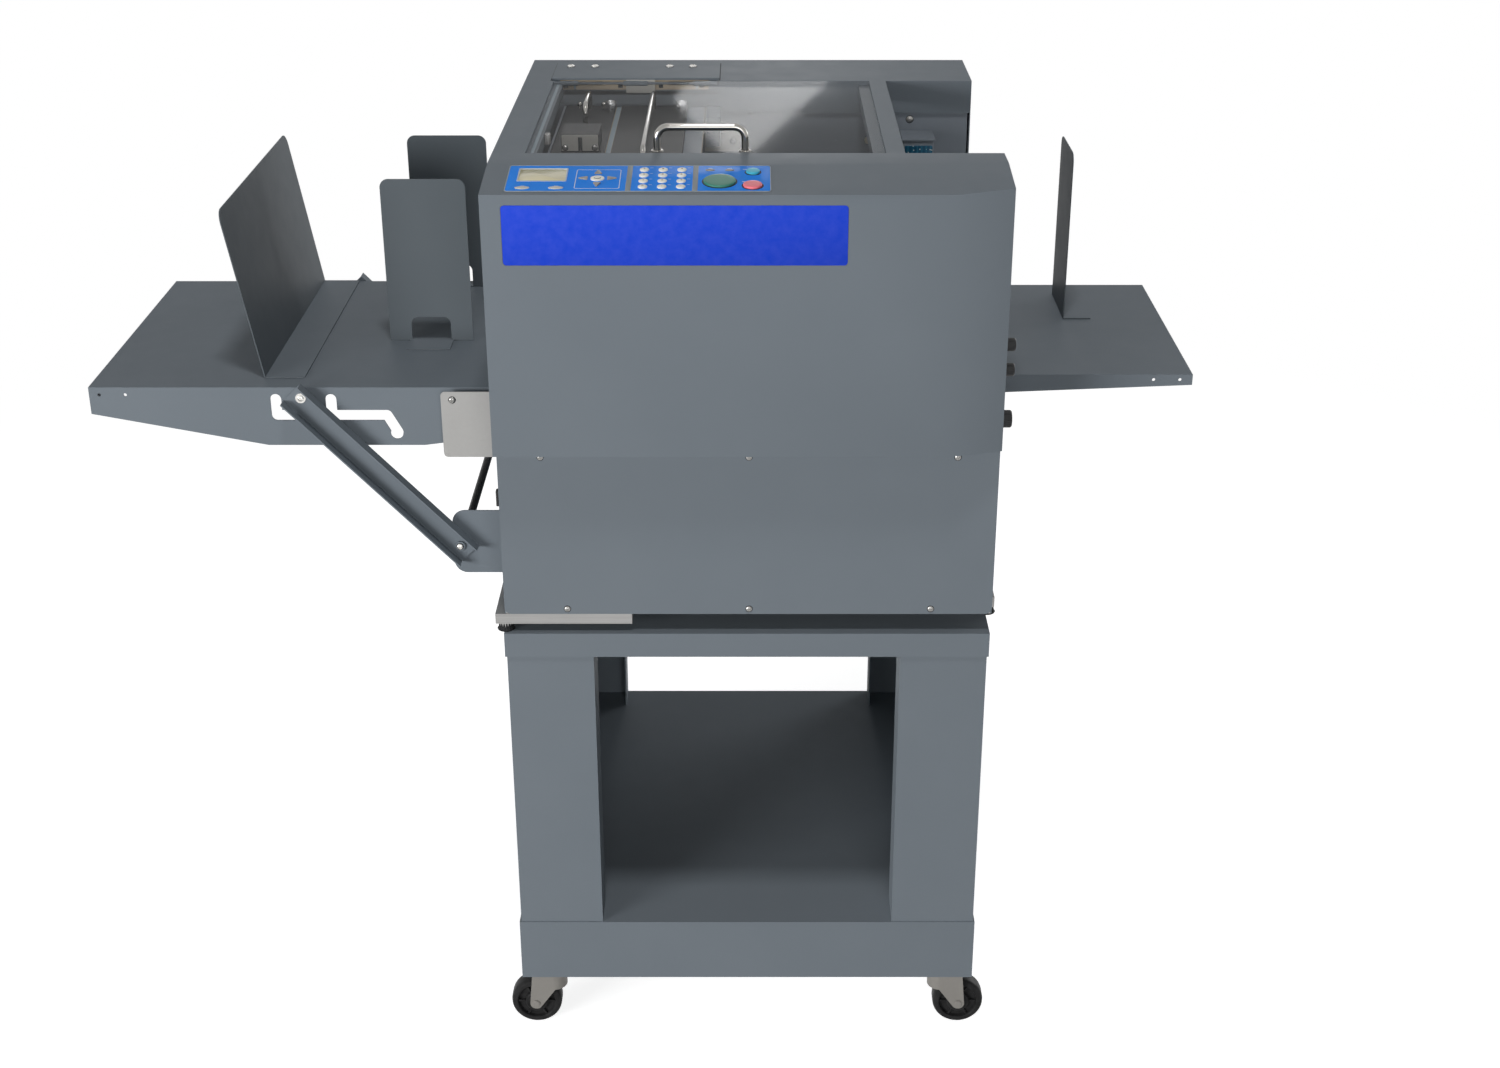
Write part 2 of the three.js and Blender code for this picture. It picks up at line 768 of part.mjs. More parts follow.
function frontHousing() {
  const side = (wall) => outline([[front + wall, housingBottom + wall], [front + wall, slopeFrontZ - wall],
    [slopeBackY, bodyTop - wall], [wall ? wellFront + overrun : wellFront, bodyTop - wall],
    [wall ? wellFront + overrun : wellFront, housingBottom + wall]]);
  const plan = (wall) => outline([[left + wall, front + wall], [right - chamferWidth, front + wall],
    [right - wall, front + chamferDepth + wall], [right - wall, wellFront + (wall ? overrun : 0)],
    [left + wall, wellFront + (wall ? overrun : 0)]]);
  const outer = alongX(side(0), left, right).intersect(alongZ(plan(0), housingBottom, bodyTop));
  const inner = alongX(side(housingWall), left, right)
    .intersect(alongZ(plan(housingWall), housingBottom, bodyTop));
  const underside = block(left + housingWall, right - housingWall, lowerFront - fit, wellFront + overrun,
    housingBottom - overrun, housingBottom + overrun);
  const bed = block(0, stripWidth, stripUp, stripUp + stripDepth, -filmThickness - fit, overrun);
  const recess = onStrip(join(bed, ...buttonHoles(-overrun * 2, overrun)));
  const stems = knobRises.map((rise) => cylinderX(knobY, bodyBottom + rise, knobStem + fit,
    right - overrun, right + overrun));
  const lipLeft = left + topBar + ledge + slip;
  const lipRight = railX - railLedge - slip;
  const lip = join(
    block(lipLeft, lipRight, wellFront - housingWall, wellFront + lipDepth, seatZ - sheet, seatZ),
    block(lipLeft, lipRight, wellFront - housingWall, wellFront, seatZ - sheet, bodyTop - housingWall / 2));
  return join(cut(outer, inner, underside, recess, plateBed(), ...stems), lip);
}
piece('front_housing', frontHousing(), 'body');

// Operating strip: a film with raised keys and a sunk screen, on the slope
function ovalOutline([x, up], [rx, ry]) {
  const shape = new THREE.Shape();
  shape.absellipse(x, up, rx, ry, 0, Math.PI * 2);
  return shape;
}

function arrowOutline([x, up], turn) {
  const tip = [0, 1, 2].map((i) => {
    const angle = turn + i * Math.PI * 2 / 3;
    return [x + arrowSize * Math.cos(angle), up + arrowSize * Math.sin(angle)];
  });
  return outline(tip);
}

function operatingStrip() {
  const film = block(fit, stripWidth - fit, fit, stripDepth - fit, -filmThickness, 0);
  const [screenX, screenUp] = screenPlace;
  const [screenWidth, screenDepth] = screenSize;
  const screen = block(screenX - screenWidth / 2, screenX + screenWidth / 2,
    screenUp - screenDepth / 2, screenUp + screenDepth / 2, -screenDrop, overrun);
  const keys = [];
  for (let column = 0; column < 3; column += 1) {
    for (let row = 0; row < 4; row += 1) {
      const place = [numbersFrom + column * numberPitch[0], numbersUp + row * numberPitch[1]];
      keys.push(ovalOutline(place, numberKey));
    }
  }
  for (let i = 0; i < 4; i += 1) {
    const turn = i * Math.PI / 2;
    const [across, up] = cursorPlace;
    const place = [across + arrowReach[0] * Math.cos(turn), up + arrowReach[1] * Math.sin(turn)];
    keys.push(arrowOutline(place, turn));
  }
  keys.push(ovalOutline(cursorPlace, [centreKey, centreKey]));
  menuPlaces.forEach((place) => keys.push(ovalOutline(place, menuKey)));
  smallPlaces.forEach((place) => keys.push(ovalOutline(place, smallKey)));
  const raised = keys.map((shape) => alongZ(shape, -filmThickness / 2, keyRise, 4));
  const whole = join(cut(film, screen), ...raised).translate([0, stripUp, 0]);
  return cut(whole, ...buttonHoles(-overrun, overrun));
}
piece('operating_strip', operatingStrip(), 'film', strip);

for (const [name, [x, up], radius, finish] of buttons) {
  const profile = [[0, -buttonStem], [radius, -buttonStem], [radius, buttonRise - keyRise],
    [radius - keyRise, buttonRise], [0, buttonRise]];
  const cap = new THREE.LatheGeometry(profile.map(([r, h]) => new THREE.Vector2(r, h)), rollerSides);
  cap.rotateX(Math.PI / 2);
  const mesh = piece(name, solid(cap), finish, strip);
  mesh.position.set(x, stripUp + up, 0);
}
machine.add(strip);

// Fixed rail between the front housing and the rear housing, with the lid's right ledge
const rail = bentSheet([[railX - railLedge, seatZ - ledgeSkirt], [railX - railLedge, seatZ], [railX, seatZ],
  [railX, bodyTop], [railX + railWidth, bodyTop], [railX + railWidth, bodyTop - railSkirt]], -sheet);
piece('lid_rail', alongY(rail, wellFront, wellBack), 'body');

// Rear housing, with the cap over the well, the notch for the lid's hinge, vents and the power inlet
function rearHousing() {
  const outer = block(left, right, wellBack, back, bodyBottom, bodyTop);
  const inner = block(left + sheet, right - sheet, wellBack + sheet, shellBack,
    bodyBottom - overrun, bodyTop - sheet);
  const mouth = block(left + sheet, right - sheet, wellBack - overrun, wellBack + overrun,
    bodyBottom - overrun, bodyTop - capHeight);
  const notch = block(notchX, notchX + notchWidth, wellBack - overrun, wellBack + notchDepth,
    bodyTop - notchDrop, bodyTop + overrun);
  const relief = block(notchX, notchX + notchWidth, wellBack - overrun, wellBack + overrun,
    bodyTop - capHeight - overrun, unitTop + reliefGap);
  const inletX = right - inletInset;
  const inletZ = bodyBottom + inletRise;
  const inlet = block(inletX - inletWidth / 2, inletX + inletWidth / 2, shellBack - overrun, back + overrun,
    inletZ - inletHeight / 2, inletZ + inletHeight / 2);
  const vents = [];
  const ventZ = bodyBottom + ventRise;
  for (let i = 0; i < ventCount; i += 1) {
    const x = left + ventInset + i * ventPitch;
    vents.push(block(x, x + ventWidth, shellBack - overrun, back + overrun, ventZ, ventZ + ventHeight));
  }
  return cut(outer, inner, mouth, notch, relief, inlet, ...vents);
}
piece('rear_housing', rearHousing(), 'body');

// Lid hinge: a screwed plate with a folded edge, three knuckles and their pin
const hingeFront = wellBack + notchDepth - fit - hingePlateSheet;
const plateKnuckles = [notchX + knuckleInset, notchX + (notchWidth - knuckleLength) / 2,
  notchX + notchWidth - knuckleInset - knuckleLength];
const lidKnuckles = [plateKnuckles[0] + knuckleLength + slip, plateKnuckles[2] - knuckleLength - slip];

function hingePlate() {
  const top = block(notchX, notchX + notchWidth, hingeFront, hingeFront + hingePlateDepth,
    bodyTop, bodyTop + hingePlateSheet);
  const skirt = block(notchX + fit, notchX + notchWidth - fit, hingeFront, hingeFront + hingePlateSheet,
    bodyTop - hingeSkirt, bodyTop + hingePlateSheet);
  const knuckles = plateKnuckles.map((x) => join(
    cylinderX(hingeY, hingeZ, knuckleRadius, x, x + knuckleLength),
    block(x, x + knuckleLength, hingeY, hingeFront + hingePlateSheet / 2,
      hingeZ - knuckleRadius, hingeZ - knuckleRadius / 2)));
  const pin = cylinderX(hingeY, hingeZ, pinRadius, plateKnuckles[0], plateKnuckles[2] + knuckleLength);
  return join(top, skirt, ...knuckles, pin);
}
piece('lid_hinge_plate', hingePlate(), 'body');

// Smoked lid, with two knuckles on its rear edge
const lidLeft = left + topBar + fit;
const lidRight = railX - fit;
const lidBottom = bodyTop - lidThickness;

function lidPanel() {
  const panel = block(lidLeft, lidRight, wellFront + slip, wellBack - lidRearGap, lidBottom, bodyTop);
  const arms = lidKnuckles.map((x) => {
    const barrel = cylinderX(hingeY, hingeZ, knuckleRadius, x, x + knuckleLength);
    const web = block(x, x + knuckleLength, wellBack - overrun, hingeY, lidBottom, lidBottom + sheet);
    const bore = cylinderX(hingeY, hingeZ, pinBore, x - overrun, x + knuckleLength + overrun);
    return cut(join(barrel, web), bore);
  });
  return join(panel, ...arms);
}
piece('lid_panel', lidPanel(), 'smoked');

const lidHandleX = left + lidHandleInset;
const lidHandleY = wellFront + lidHandleSetback;
piece('lid_handle', handleBar(
  new THREE.Vector3(lidHandleX - lidHandleWidth / 2, lidHandleY, bodyTop),
  new THREE.Vector3(lidHandleX + lidHandleWidth / 2, lidHandleY, bodyTop),
  lidHandleRise, handleBend, handleRod), 'chrome');

// Side knobs, each on a stem through the housing's right end
const knobRadii = [smallKnob, smallKnob, largeKnob];
['upper_side_knob', 'middle_side_knob', 'lower_side_knob'].forEach((name, i) => {
  const radius = knobRadii[i];
  const profile = [[0, -knobStemLength], [knobStem, -knobStemLength], [knobStem, knobStandoff],
    [radius, knobStandoff], [radius, knobLength - knobEdge],
    [radius - knobEdge, knobLength], [0, knobLength]];
  const knob = new THREE.LatheGeometry(profile.map(([r, h]) => new THREE.Vector2(r, h)), rollerSides);
  knob.rotateZ(-Math.PI / 2);
  const mesh = piece(name, solid(knob), 'black');
  mesh.position.set(right, knobY, bodyBottom + knobRises[i]);
});

// Inner frames that carry the shafts
const rearFrameY = wellBack + rearFrameGap;
const nipDistance = rollerRadius + nipHalfGap;
const camShaftHeight = beamTop + camRadius + camGap - camStroke / 2;

function onPath(along, height) {
  const cos = Math.cos(pathAngle);
  const sin = Math.sin(pathAngle);
  return [pathX + along * cos - height * sin, pathZ + along * sin + height * cos];
}

const shafts = {
  feed: [left + feedRollerInset, trayTop + feedProud - feedRadius],
  intakeLower: onPath(intakeAt, -nipDistance),
  intakeUpper: onPath(intakeAt, nipDistance),
  exitLower: onPath(exitAt, -nipDistance),
  exitUpper: onPath(exitAt, nipDistance),
  cam: onPath(creaseAt, camShaftHeight),
};

function frame(y, top) {
  const x0 = left + sheet * 2 + frameSideGap;
  const x1 = right - housingWall - frameSideGap;
  const holes = Object.entries(shafts).map(([name, [x, z]]) =>
    cylinderY(x, z, name === 'cam' ? camShaftHole : shaftHole, y - overrun, y + framePlate + overrun));
  return cut(block(x0, x1, y, y + framePlate, panTop, top), ...holes);
}
piece('front_frame', frame(wellFront, frontFrameTop), 'steel');
piece('rear_frame', frame(rearFrameY, bodyTop - rearFrameDrop), 'steel');

// Rollers: each turns about Y in both frames. Driven ones carry a belt pulley in front of the front frame
const innerFront = wellFront + framePlate;
const innerBack = rearFrameY;
const pulleyBack = wellFront - pulleyGap;
const pulleyFront = pulleyBack - pulleyWidth;
const shaftBack = rearFrameY + framePlate + slip;

function roller(name, [x, z], radius, driven, finish) {
  const shaftFront = driven ? pulleyFront : wellFront - slip;
  const parts = [
    cylinderY(0, 0, shaftRadius, shaftFront, shaftBack),
    cylinderY(0, 0, radius, windowFront, windowBack),
  ];
  if (driven) {
    parts.push(cylinderY(0, 0, pulleyRadius, pulleyFront, pulleyBack));
    parts.push(cylinderY(0, 0, flangeRadius, pulleyBack, pulleyBack + sheet));
  }
  const mesh = piece(name, join(...parts), finish);
  mesh.position.set(x, 0, z);
}
roller('feed_roller', shafts.feed, feedRadius, true, 'black');
roller('intake_roller_lower', shafts.intakeLower, rollerRadius, true, 'steel');
roller('intake_roller_upper', shafts.intakeUpper, rollerRadius, false, 'black');
roller('exit_roller_lower', shafts.exitLower, rollerRadius, true, 'steel');
roller('exit_roller_upper', shafts.exitUpper, rollerRadius, false, 'black');

// Belt round the three pulleys: the convex outline of three circles, with its own thickness
function beltOutline(radius, share) {
  const points = [shafts.feed, shafts.intakeLower, shafts.exitLower].flatMap(([x, z], i) => {
    const r = i === 1 ? radius * share : radius;
    return Array.from({ length: rollerSides }, (_, k) => {
      const angle = k * Math.PI * 2 / rollerSides;
      return [x + r * Math.cos(angle), z + r * Math.sin(angle)];
    });
  }).sort((a, b) => a[0] - b[0] || a[1] - b[1]);
  const half = (list) => {
    const chain = [];
    for (const p of list) {
      while (chain.length > 1) {
        const [a, b] = chain.slice(-2);
        if ((b[0] - a[0]) * (p[1] - a[1]) - (b[1] - a[1]) * (p[0] - a[0]) > 0) break;
        chain.pop();
      }
      chain.push(p);
    }
    return chain.slice(0, -1);
  };
  return outline([...half(points), ...half(points.reverse())]);
}
const beltInner = (pulleyRadius + beltGap) / Math.cos(Math.PI / rollerSides);
const belt = cut(
  alongY(beltOutline(beltInner + beltThickness, 1), pulleyFront, pulleyBack - fit),
  alongY(beltOutline(beltInner, 1), pulleyFront - overrun, pulleyBack + overrun));
piece('drive_belt', belt, 'black');

// Paper guide: a bent plate from the feed level up the slope, with windows for the rollers and the die,
// and the wall that the stack leans on
function paperGuide() {
  const drop = guideDrop / Math.cos(pathAngle / 2);
  const bend = [pathX + drop * Math.sin(pathAngle / 2), trayTop];
  const end = onPath(guideLength, -guideDrop);
  const bent = alongY(bentSheet([[left + sheet + fit, trayTop], bend, end], -sheet), innerFront, innerBack);
  const window = (place, half) => {
    const [x, z] = place;
    return block(x - half, x + half, windowFront - windowMargin, windowBack + windowMargin,
      z - feedRadius, z + feedRadius * 2);
  };
  const stackWallX = left + stackWallInset;
  const wallBottom = trayTop + stackWallGap;
  const wallTop = trayTop + stackWallRise;
  const wall = block(stackWallX, stackWallX + sheet, innerFront, innerBack, wallBottom, wallTop);
  const ears = [[innerFront, innerFront + stackEar], [innerBack - stackEar, innerBack]].map(([y0, y1]) =>
    block(stackWallX, stackWallX + stackEar, y0, y1, trayTop - sheet, wallBottom + stackEar));
  return join(cut(bent,
    window(shafts.feed, feedRadius * feedWindowShare),
    window(onPath(intakeAt, -nipDistance), rollerRadius * nipWindowShare),
    window(onPath(creaseAt, -dieHeight / 2), dieWidth / 2 + windowMargin)), wall, ...ears);
}
piece('paper_guide', paperGuide(), 'steel');

// Creasing die and blade, both square to the sloping sheet
const crease = new THREE.Group();
const [creaseX, creaseZ] = onPath(creaseAt, 0);
crease.position.set(creaseX, 0, creaseZ);
crease.rotation.y = -pathAngle;

const dieHalf = dieWidth / 2;
const die = cut(
  join(
    block(-dieHalf, dieHalf, windowFront, windowBack, -dieHeight, -dieDrop),
    block(-dieHalf, dieHalf, innerFront + fit, innerBack - fit, -dieHeight, -dieDrop - dieEndDrop)),
  block(-grooveWidth / 2, grooveWidth / 2, windowFront - overrun, windowBack + overrun,
    -dieDrop - grooveDepth, overrun));
piece('creasing_die', die, 'steel', crease);

const beam = alongY(outline([[-bladeEdge / 2, bladeLift], [bladeEdge / 2, bladeLift],
  [bladeEdge / 2, bladeLift + bladeHeight], [beamWidth / 2, bladeLift + bladeHeight + beamWidth / 2],
  [beamWidth / 2, beamTop], [-beamWidth / 2, beamTop],
  [-beamWidth / 2, bladeLift + bladeHeight + beamWidth / 2], [-bladeEdge / 2, bladeLift + bladeHeight]]),
windowFront, windowBack);
const beamEnds = [[innerFront + slip, windowFront], [windowBack, innerBack - slip]].map(([y0, y1]) =>
  block(-beamWidth / 2, beamWidth / 2, y0, y1, beamTop - beamWidth * 2, beamTop));
piece('creasing_blade', join(beam, ...beamEnds), 'steel', crease);
machine.add(crease);

// A spur gear about Y, with straight-sided teeth; the first tooth points along the given angle
function gear(teeth, angle, y0, y1) {
  const pitch = gearModule * teeth / 2;
  const root = pitch - gearModule;
  const tip = pitch + gearModule * toothRiseShare;
  const step = Math.PI * 2 / teeth;
  const points = [];
  for (let i = 0; i < teeth; i += 1) {
    const middle = angle + i * step;
    const rootHalf = step * toothRootShare / 2;
    const tipHalf = step * toothTipShare / 2;
    for (const [radius, turn] of [[root, -rootHalf], [tip, -tipHalf], [tip, tipHalf], [root, rootHalf]]) {
      points.push([radius * Math.cos(middle + turn), radius * Math.sin(middle + turn)]);
    }
  }
  return alongY(outline(points), y0, y1);
}

// Cam shaft: two eccentric discs over the blade beam, and the driven gear behind the rear frame
const gearFront = rearFrameY + framePlate + gearGap;
const gearBack = gearFront + gearWidth;

function camShaft() {
  const shaft = cylinderY(0, 0, camShaftRadius, wellFront - slip, gearBack);
  const lift = camStroke / 2;
  const cams = camYs.map((y) => cylinderY(-lift * Math.sin(pathAngle), lift * Math.cos(pathAngle),
    camRadius, y, y + camWidth, camSides));
  return join(shaft, ...cams, gear(camGearTeeth, 0, gearFront, gearBack));
}
const camMesh = piece('cam_shaft', camShaft(), 'steel');
const [camX, camZ] = shafts.cam;
camMesh.position.set(camX, 0, camZ);

// Drive pinion and its motor, in mesh with the gear
const pinionX = camX + gearModule * (camGearTeeth + pinionTeeth) / 2 + gearBacklash;
const motorFront = gearBack + gearGap * 3;
const pinion = join(
  gear(pinionTeeth, Math.PI / pinionTeeth, gearFront, gearBack),
  cylinderY(0, 0, motorShaft, gearFront - sheet, motorFront + motorBoreDepth - slip));
piece('drive_pinion', pinion, 'steel').position.set(pinionX, 0, camZ);

function driveMotor() {
  const { left: plateLeft, right: plateRight, half, thickness } = motorPlate;
  const face = block(-plateLeft, plateRight, motorFront, motorFront + thickness, -half, half);
  const can = cylinderY(0, 0, motorRadius, motorFront, motorFront + motorLength, 28);
  const bore = cylinderY(0, 0, motorShaftBore, motorFront - overrun, motorFront + motorBoreDepth);
  const posts = motorPosts.map(([x, z]) =>
    cylinderY(x, z, motorPostRadius, rearFrameY + framePlate, motorFront + thickness / 2, 10));
  return join(cut(join(face, can), bore), ...posts);
}
piece('drive_motor', driveMotor(), 'black').position.set(pinionX, 0, camZ);

// Black unit covers with their grab handles
function unitCover({ inset, width, depth }) {
  const x = left + inset;
  const section = bentSheet([[x, unitTop - depth], [x, unitTop], [x + width, unitTop],
    [x + width, unitTop - depth]], -unitSheet);
  return alongY(section, innerFront, innerBack);
}
const handleBack = wellBack - handleBackInset;
const intakeHandleFront = handleBack - intakeHandle.length;
const blockX = left + intakeUnit.inset + unitBlock.inset;
const blockY = intakeHandleFront - unitBlock.handleGap - unitBlock.length;
const sensorBlock = block(blockX, blockX + unitBlock.width, blockY, blockY + unitBlock.length,
  unitTop, unitTop + unitBlock.height);
piece('intake_unit_cover', join(unitCover(intakeUnit), sensorBlock), 'black');
piece('crease_unit_cover', unitCover(creaseUnit), 'black');

const unitHandles = [
  ['intake_unit_handle', left + intakeUnit.inset + intakeHandle.inset, intakeHandleFront],
  ['crease_unit_handle', left + creaseUnit.inset + creaseHandle.inset, wellFront + creaseHandle.frontInset],
];
for (const [name, x, handleFront] of unitHandles) {
  const bar = handleBar(new THREE.Vector3(x, handleFront, unitTop), new THREE.Vector3(x, handleBack, unitTop),
    unitHandleRise, handleBend, unitRod);
  piece(name, bar, 'chrome');
}

// Feed tray: a flat top with two slotted side flanges that taper to the outer end
const feedLeft = left - feedReach;
const feedRight = left - trayClearance;

function slotAt(from, to, radius, side) {
  const place = ([a, b]) => [pivotX + a, pivotZ + b];
  const y = trayMid + side * trayDepth / 2;
  return alongY(slotOutline(place(from), place(to), radius), y - overrun, y + overrun, 4);
}

function trayFlangePlate(side) {
  const outer = trayMid + side * trayDepth / 2;
  const corner = Array.from({ length: traySwingSteps }, (_, i) => {
    const angle = Math.PI / 2 * (i / (traySwingSteps - 1));
    return [pivotX + traySwing * Math.sin(angle), pivotZ - traySwing * Math.cos(angle)];
  });
  const section = outline([[feedLeft, trayTop], [feedLeft, trayTop - trayTipFlange],
    [feedLeft + trayTaper, trayTop - trayFlange], [pivotX - trayFlange / 2, trayTop - trayFlange],
    ...corner, [feedRight, trayTop]]);
  const blank = alongY(section, outer, outer - side * sheet);
  const half = slotWidth / 2;
  const notches = slotNotches.map((x) => slotAt([x, slotRun], [x, slotSeat], half, side));
  const pivotHole = cylinderY(pivotX, pivotZ, pivotStud + fit, outer - overrun, outer + overrun, 14);
  const small = trayHoles.map((x) =>
    cylinderY(feedLeft + x, trayTop - trayHoleDrop, trayHoleRadius, outer - overrun, outer + overrun, 8));
  return cut(blank, ...notches,
    slotAt([slotNotches[0], slotRun], [slotRunEnd, slotRun], half, side),
    slotAt([slotRunEnd, slotRun], slotHook, half, side),
    slotAt(slotLobe, [slotLobe[0] + fit, slotLobe[1]], lobeRadius, side),
    pivotHole, ...small);
}

function feedTray() {
  const trayBack = trayFront + trayDepth;
  const top = block(feedLeft, feedRight, trayFront, trayBack, trayTop - sheet, trayTop);
  const end = block(feedLeft, feedLeft + sheet, trayFront, trayBack, trayTop - trayTipFlange, trayTop);
  return join(top, end, trayFlangePlate(-1), trayFlangePlate(1));
}
piece('feed_tray', feedTray(), 'body');

// Brackets on the machine's left side, the support arms between them and the stay bar
const trayHalf = trayDepth / 2;
const trayBracketTop = trayTop - trayBracketDrop;
const armBracketTop = bodyBottom + armBracketRise + armBracket.height;

function bracketPlate({ width, height, corner }, top, inner, side) {
  const bottom = top - height;
  const outer = inner + side * bracketSheet;
  const face = alongY(plateOutline(left - width, left, bottom, top, [corner, 0, 0, corner]), inner, outer);
  const tab = block(left - bracketSheet, left, outer, outer - side * bracketFlange, bottom, top);
  return join(face, tab);
}

function trayBracketPiece(side) {
  const flangeInner = trayMid + side * (trayHalf - sheet);
  const bracketInner = trayMid + side * (trayHalf + trayBracketGap);
  const headFace = flangeInner - side * fit;
  const stud = cylinderY(pivotX, pivotZ, pivotStud, bracketInner + side * bracketSheet / 2, headFace, 14);
  const head = cylinderY(pivotX, pivotZ, studHead, headFace, headFace - side * studHeadLength, 14);
  return join(bracketPlate(trayBracket, trayBracketTop, bracketInner, side), stud, head);
}

function armBracketPiece(side) {
  const [x, z] = armPivot;
  const bracketInner = trayMid + side * trayHalf;
  const headFace = trayMid + side * (trayHalf + armGap + bracketSheet + fit);
  const stud = cylinderY(x, z, armStud, bracketInner + side * bracketSheet / 2, headFace, 14);
  const washer = cylinderY(x, z, armWasher, headFace, headFace + side * studHeadLength, 14);
  return join(bracketPlate(armBracket, armBracketTop, bracketInner, side), stud, washer);
}

// An arm is a channel with its flanges outwards: a hole at the bracket end, a stud at the tray end
const [armX0, armZ0] = armPivot;
const [armX1, armZ1] = armPin;
const armLength = Math.hypot(armX1 - armX0, armZ1 - armZ0);
const armTurn = Math.atan2(armZ1 - armZ0, armX1 - armX0);

function supportArm(side) {
  const inner = trayMid + side * (trayHalf + armGap);
  const outer = inner + side * (bracketSheet + armFlange);
  const half = armWidth / 2;
  const [upper, lower] = armEnds;
  const bar = block(-lower, armLength + upper, inner, outer, -half, half);
  const channel = block(-lower - overrun, armLength + upper + overrun, inner + side * bracketSheet,
    outer + side * overrun, -half + bracketSheet, half - bracketSheet);
  const hole = cylinderY(0, 0, armStud + fit, inner - side * overrun, inner + side * overrun, 14);
  const pin = cylinderY(armLength, 0, armStud, trayMid + side * (trayHalf + buttonGap),
    inner + side * bracketSheet / 2, 14);
  return join(cut(bar, channel, hole), pin);
}

for (const [where, side] of [['front', -1], ['rear', 1]]) {
  piece(`${where}_tray_bracket`, trayBracketPiece(side), 'bright');
  piece(`${where}_arm_bracket`, armBracketPiece(side), 'body');
  const arm = piece(`${where}_support_arm`, supportArm(side), 'body');
  arm.position.set(armX0, 0, armZ0);
  arm.rotation.y = -armTurn;
}
piece('stay_bar', cylinderY(left - stayReach, bodyBottom + stayRise, stayRadius,
  trayMid - trayHalf, trayMid + trayHalf, 14), 'black');

// Feed end stop: a plate that leans outwards from its foot
function feedEndStop() {
  const { reach, frontInset, backInset, height, foot, corner, lean } = feedStop;
  const x = left - reach;
  const y0 = trayFront + frontInset;
  const y1 = trayFront + trayDepth - backInset;
  const base = trayTop + fit;
  const leaning = new THREE.Matrix4().makeRotationY(-lean * Math.PI / 180).setPosition(x, 0, base);
  const upright = alongX(plateOutline(y0, y1, 0, height, [0, 0, corner, corner]), 0, plate)
    .transform(leaning.elements);
  const sole = block(x, x + foot, y0, y1, base, base + plate);
  return join(upright, sole);
}
piece('feed_end_stop', feedEndStop(), 'dark');

// Side guides: upright plates with an arch, whose cut-out is the foot
function sideGuide(y, side, foot) {
  const { reach, width, height, corner, archWidth, archHeight, archCorner } = guide;
  const x = left - reach;
  const base = trayTop + fit;
  const middle = x + width / 2;
  const upright = alongY(plateOutline(x, x + width, base, base + height, [0, 0, corner, corner]),
    y - plate / 2, y + plate / 2);
  const arch = alongY(plateOutline(middle - archWidth / 2, middle + archWidth / 2, base - overrun,
    base + archHeight, [0, 0, archCorner, archCorner]), y - overrun, y + overrun);
  const root = archWidth / 2 + guideRootLap;
  const sole = block(middle - root, middle + root, y - side * plate / 2, y + side * foot, base, base + plate);
  return join(cut(upright, arch), sole);
}
const frontGuideY = trayFront + frontGuideInset;
const rearGuideY = trayFront + trayDepth - rearGuideInset;
piece('front_side_guide', sideGuide(frontGuideY, -1, guideFoot), 'dark');
piece('rear_side_guide', sideGuide(rearGuideY, 1, rearGuideFoot), 'dark');

// Output tray: its inner end lies between the frames, on four ears
function outputTray() {
  const outRight = right + outputReach;
  const outBack = outFront + outDepth;
  const top = block(outInnerX, outRight, outFront, outBack, outTop - sheet, outTop);
  const section = outline([[outInnerX, outTop], [outInnerX, outTop - outFlange], [right, outTop - outFlange],
    [outRight, outTop - outTipFlange], [outRight, outTop]]);
  const flanges = [[outFront, outFront + sheet], [outBack - sheet, outBack]].map(([y0, y1]) =>
    alongY(section, y0, y1));
  const end = block(outRight - sheet, outRight, outFront, outBack, outTop - outTipFlange, outTop);
  const earSides = [[innerFront, outFront + sheet], [outBack - sheet, innerBack]];
  const earBottom = outTop - outFlange;
  const ears = outEars.map((inset) => outInnerX + inset).flatMap((x) => earSides.map(([y0, y1]) =>
    block(x, x + outEarWidth, y0, y1, earBottom, earBottom + sheet)));
  const holes = outHoles.map((inset) => cylinderY(outRight - inset, outTop - outTipFlange / 2,
    trayHoleRadius, outFront - overrun, outFront + overrun, 8));
  return cut(join(top, ...flanges, end, ...ears), ...holes);
}
piece('output_tray', outputTray(), 'body');

function outputEndStop() {
  const { reach, inset, width, height, foot, corner } = outStop;
  const x = right + reach;
  const y0 = outFront + inset;
  const base = outTop + fit;
  const upright = alongX(plateOutline(y0, y0 + width, base, base + height, [0, 0, corner, corner]),
    x, x + plate);
  return join(upright, block(x, x + foot, y0, y0 + width, base, base + plate));
}
piece('output_end_stop', outputEndStop(), 'dark');

export default machine;
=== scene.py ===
"""Dresses the paper creasing machine: its painted sheets, moulded front, keys, lid, works and cart."""
import functools
import math

import bmesh
import bpy
import numpy as np
from mathutils import Matrix, Vector


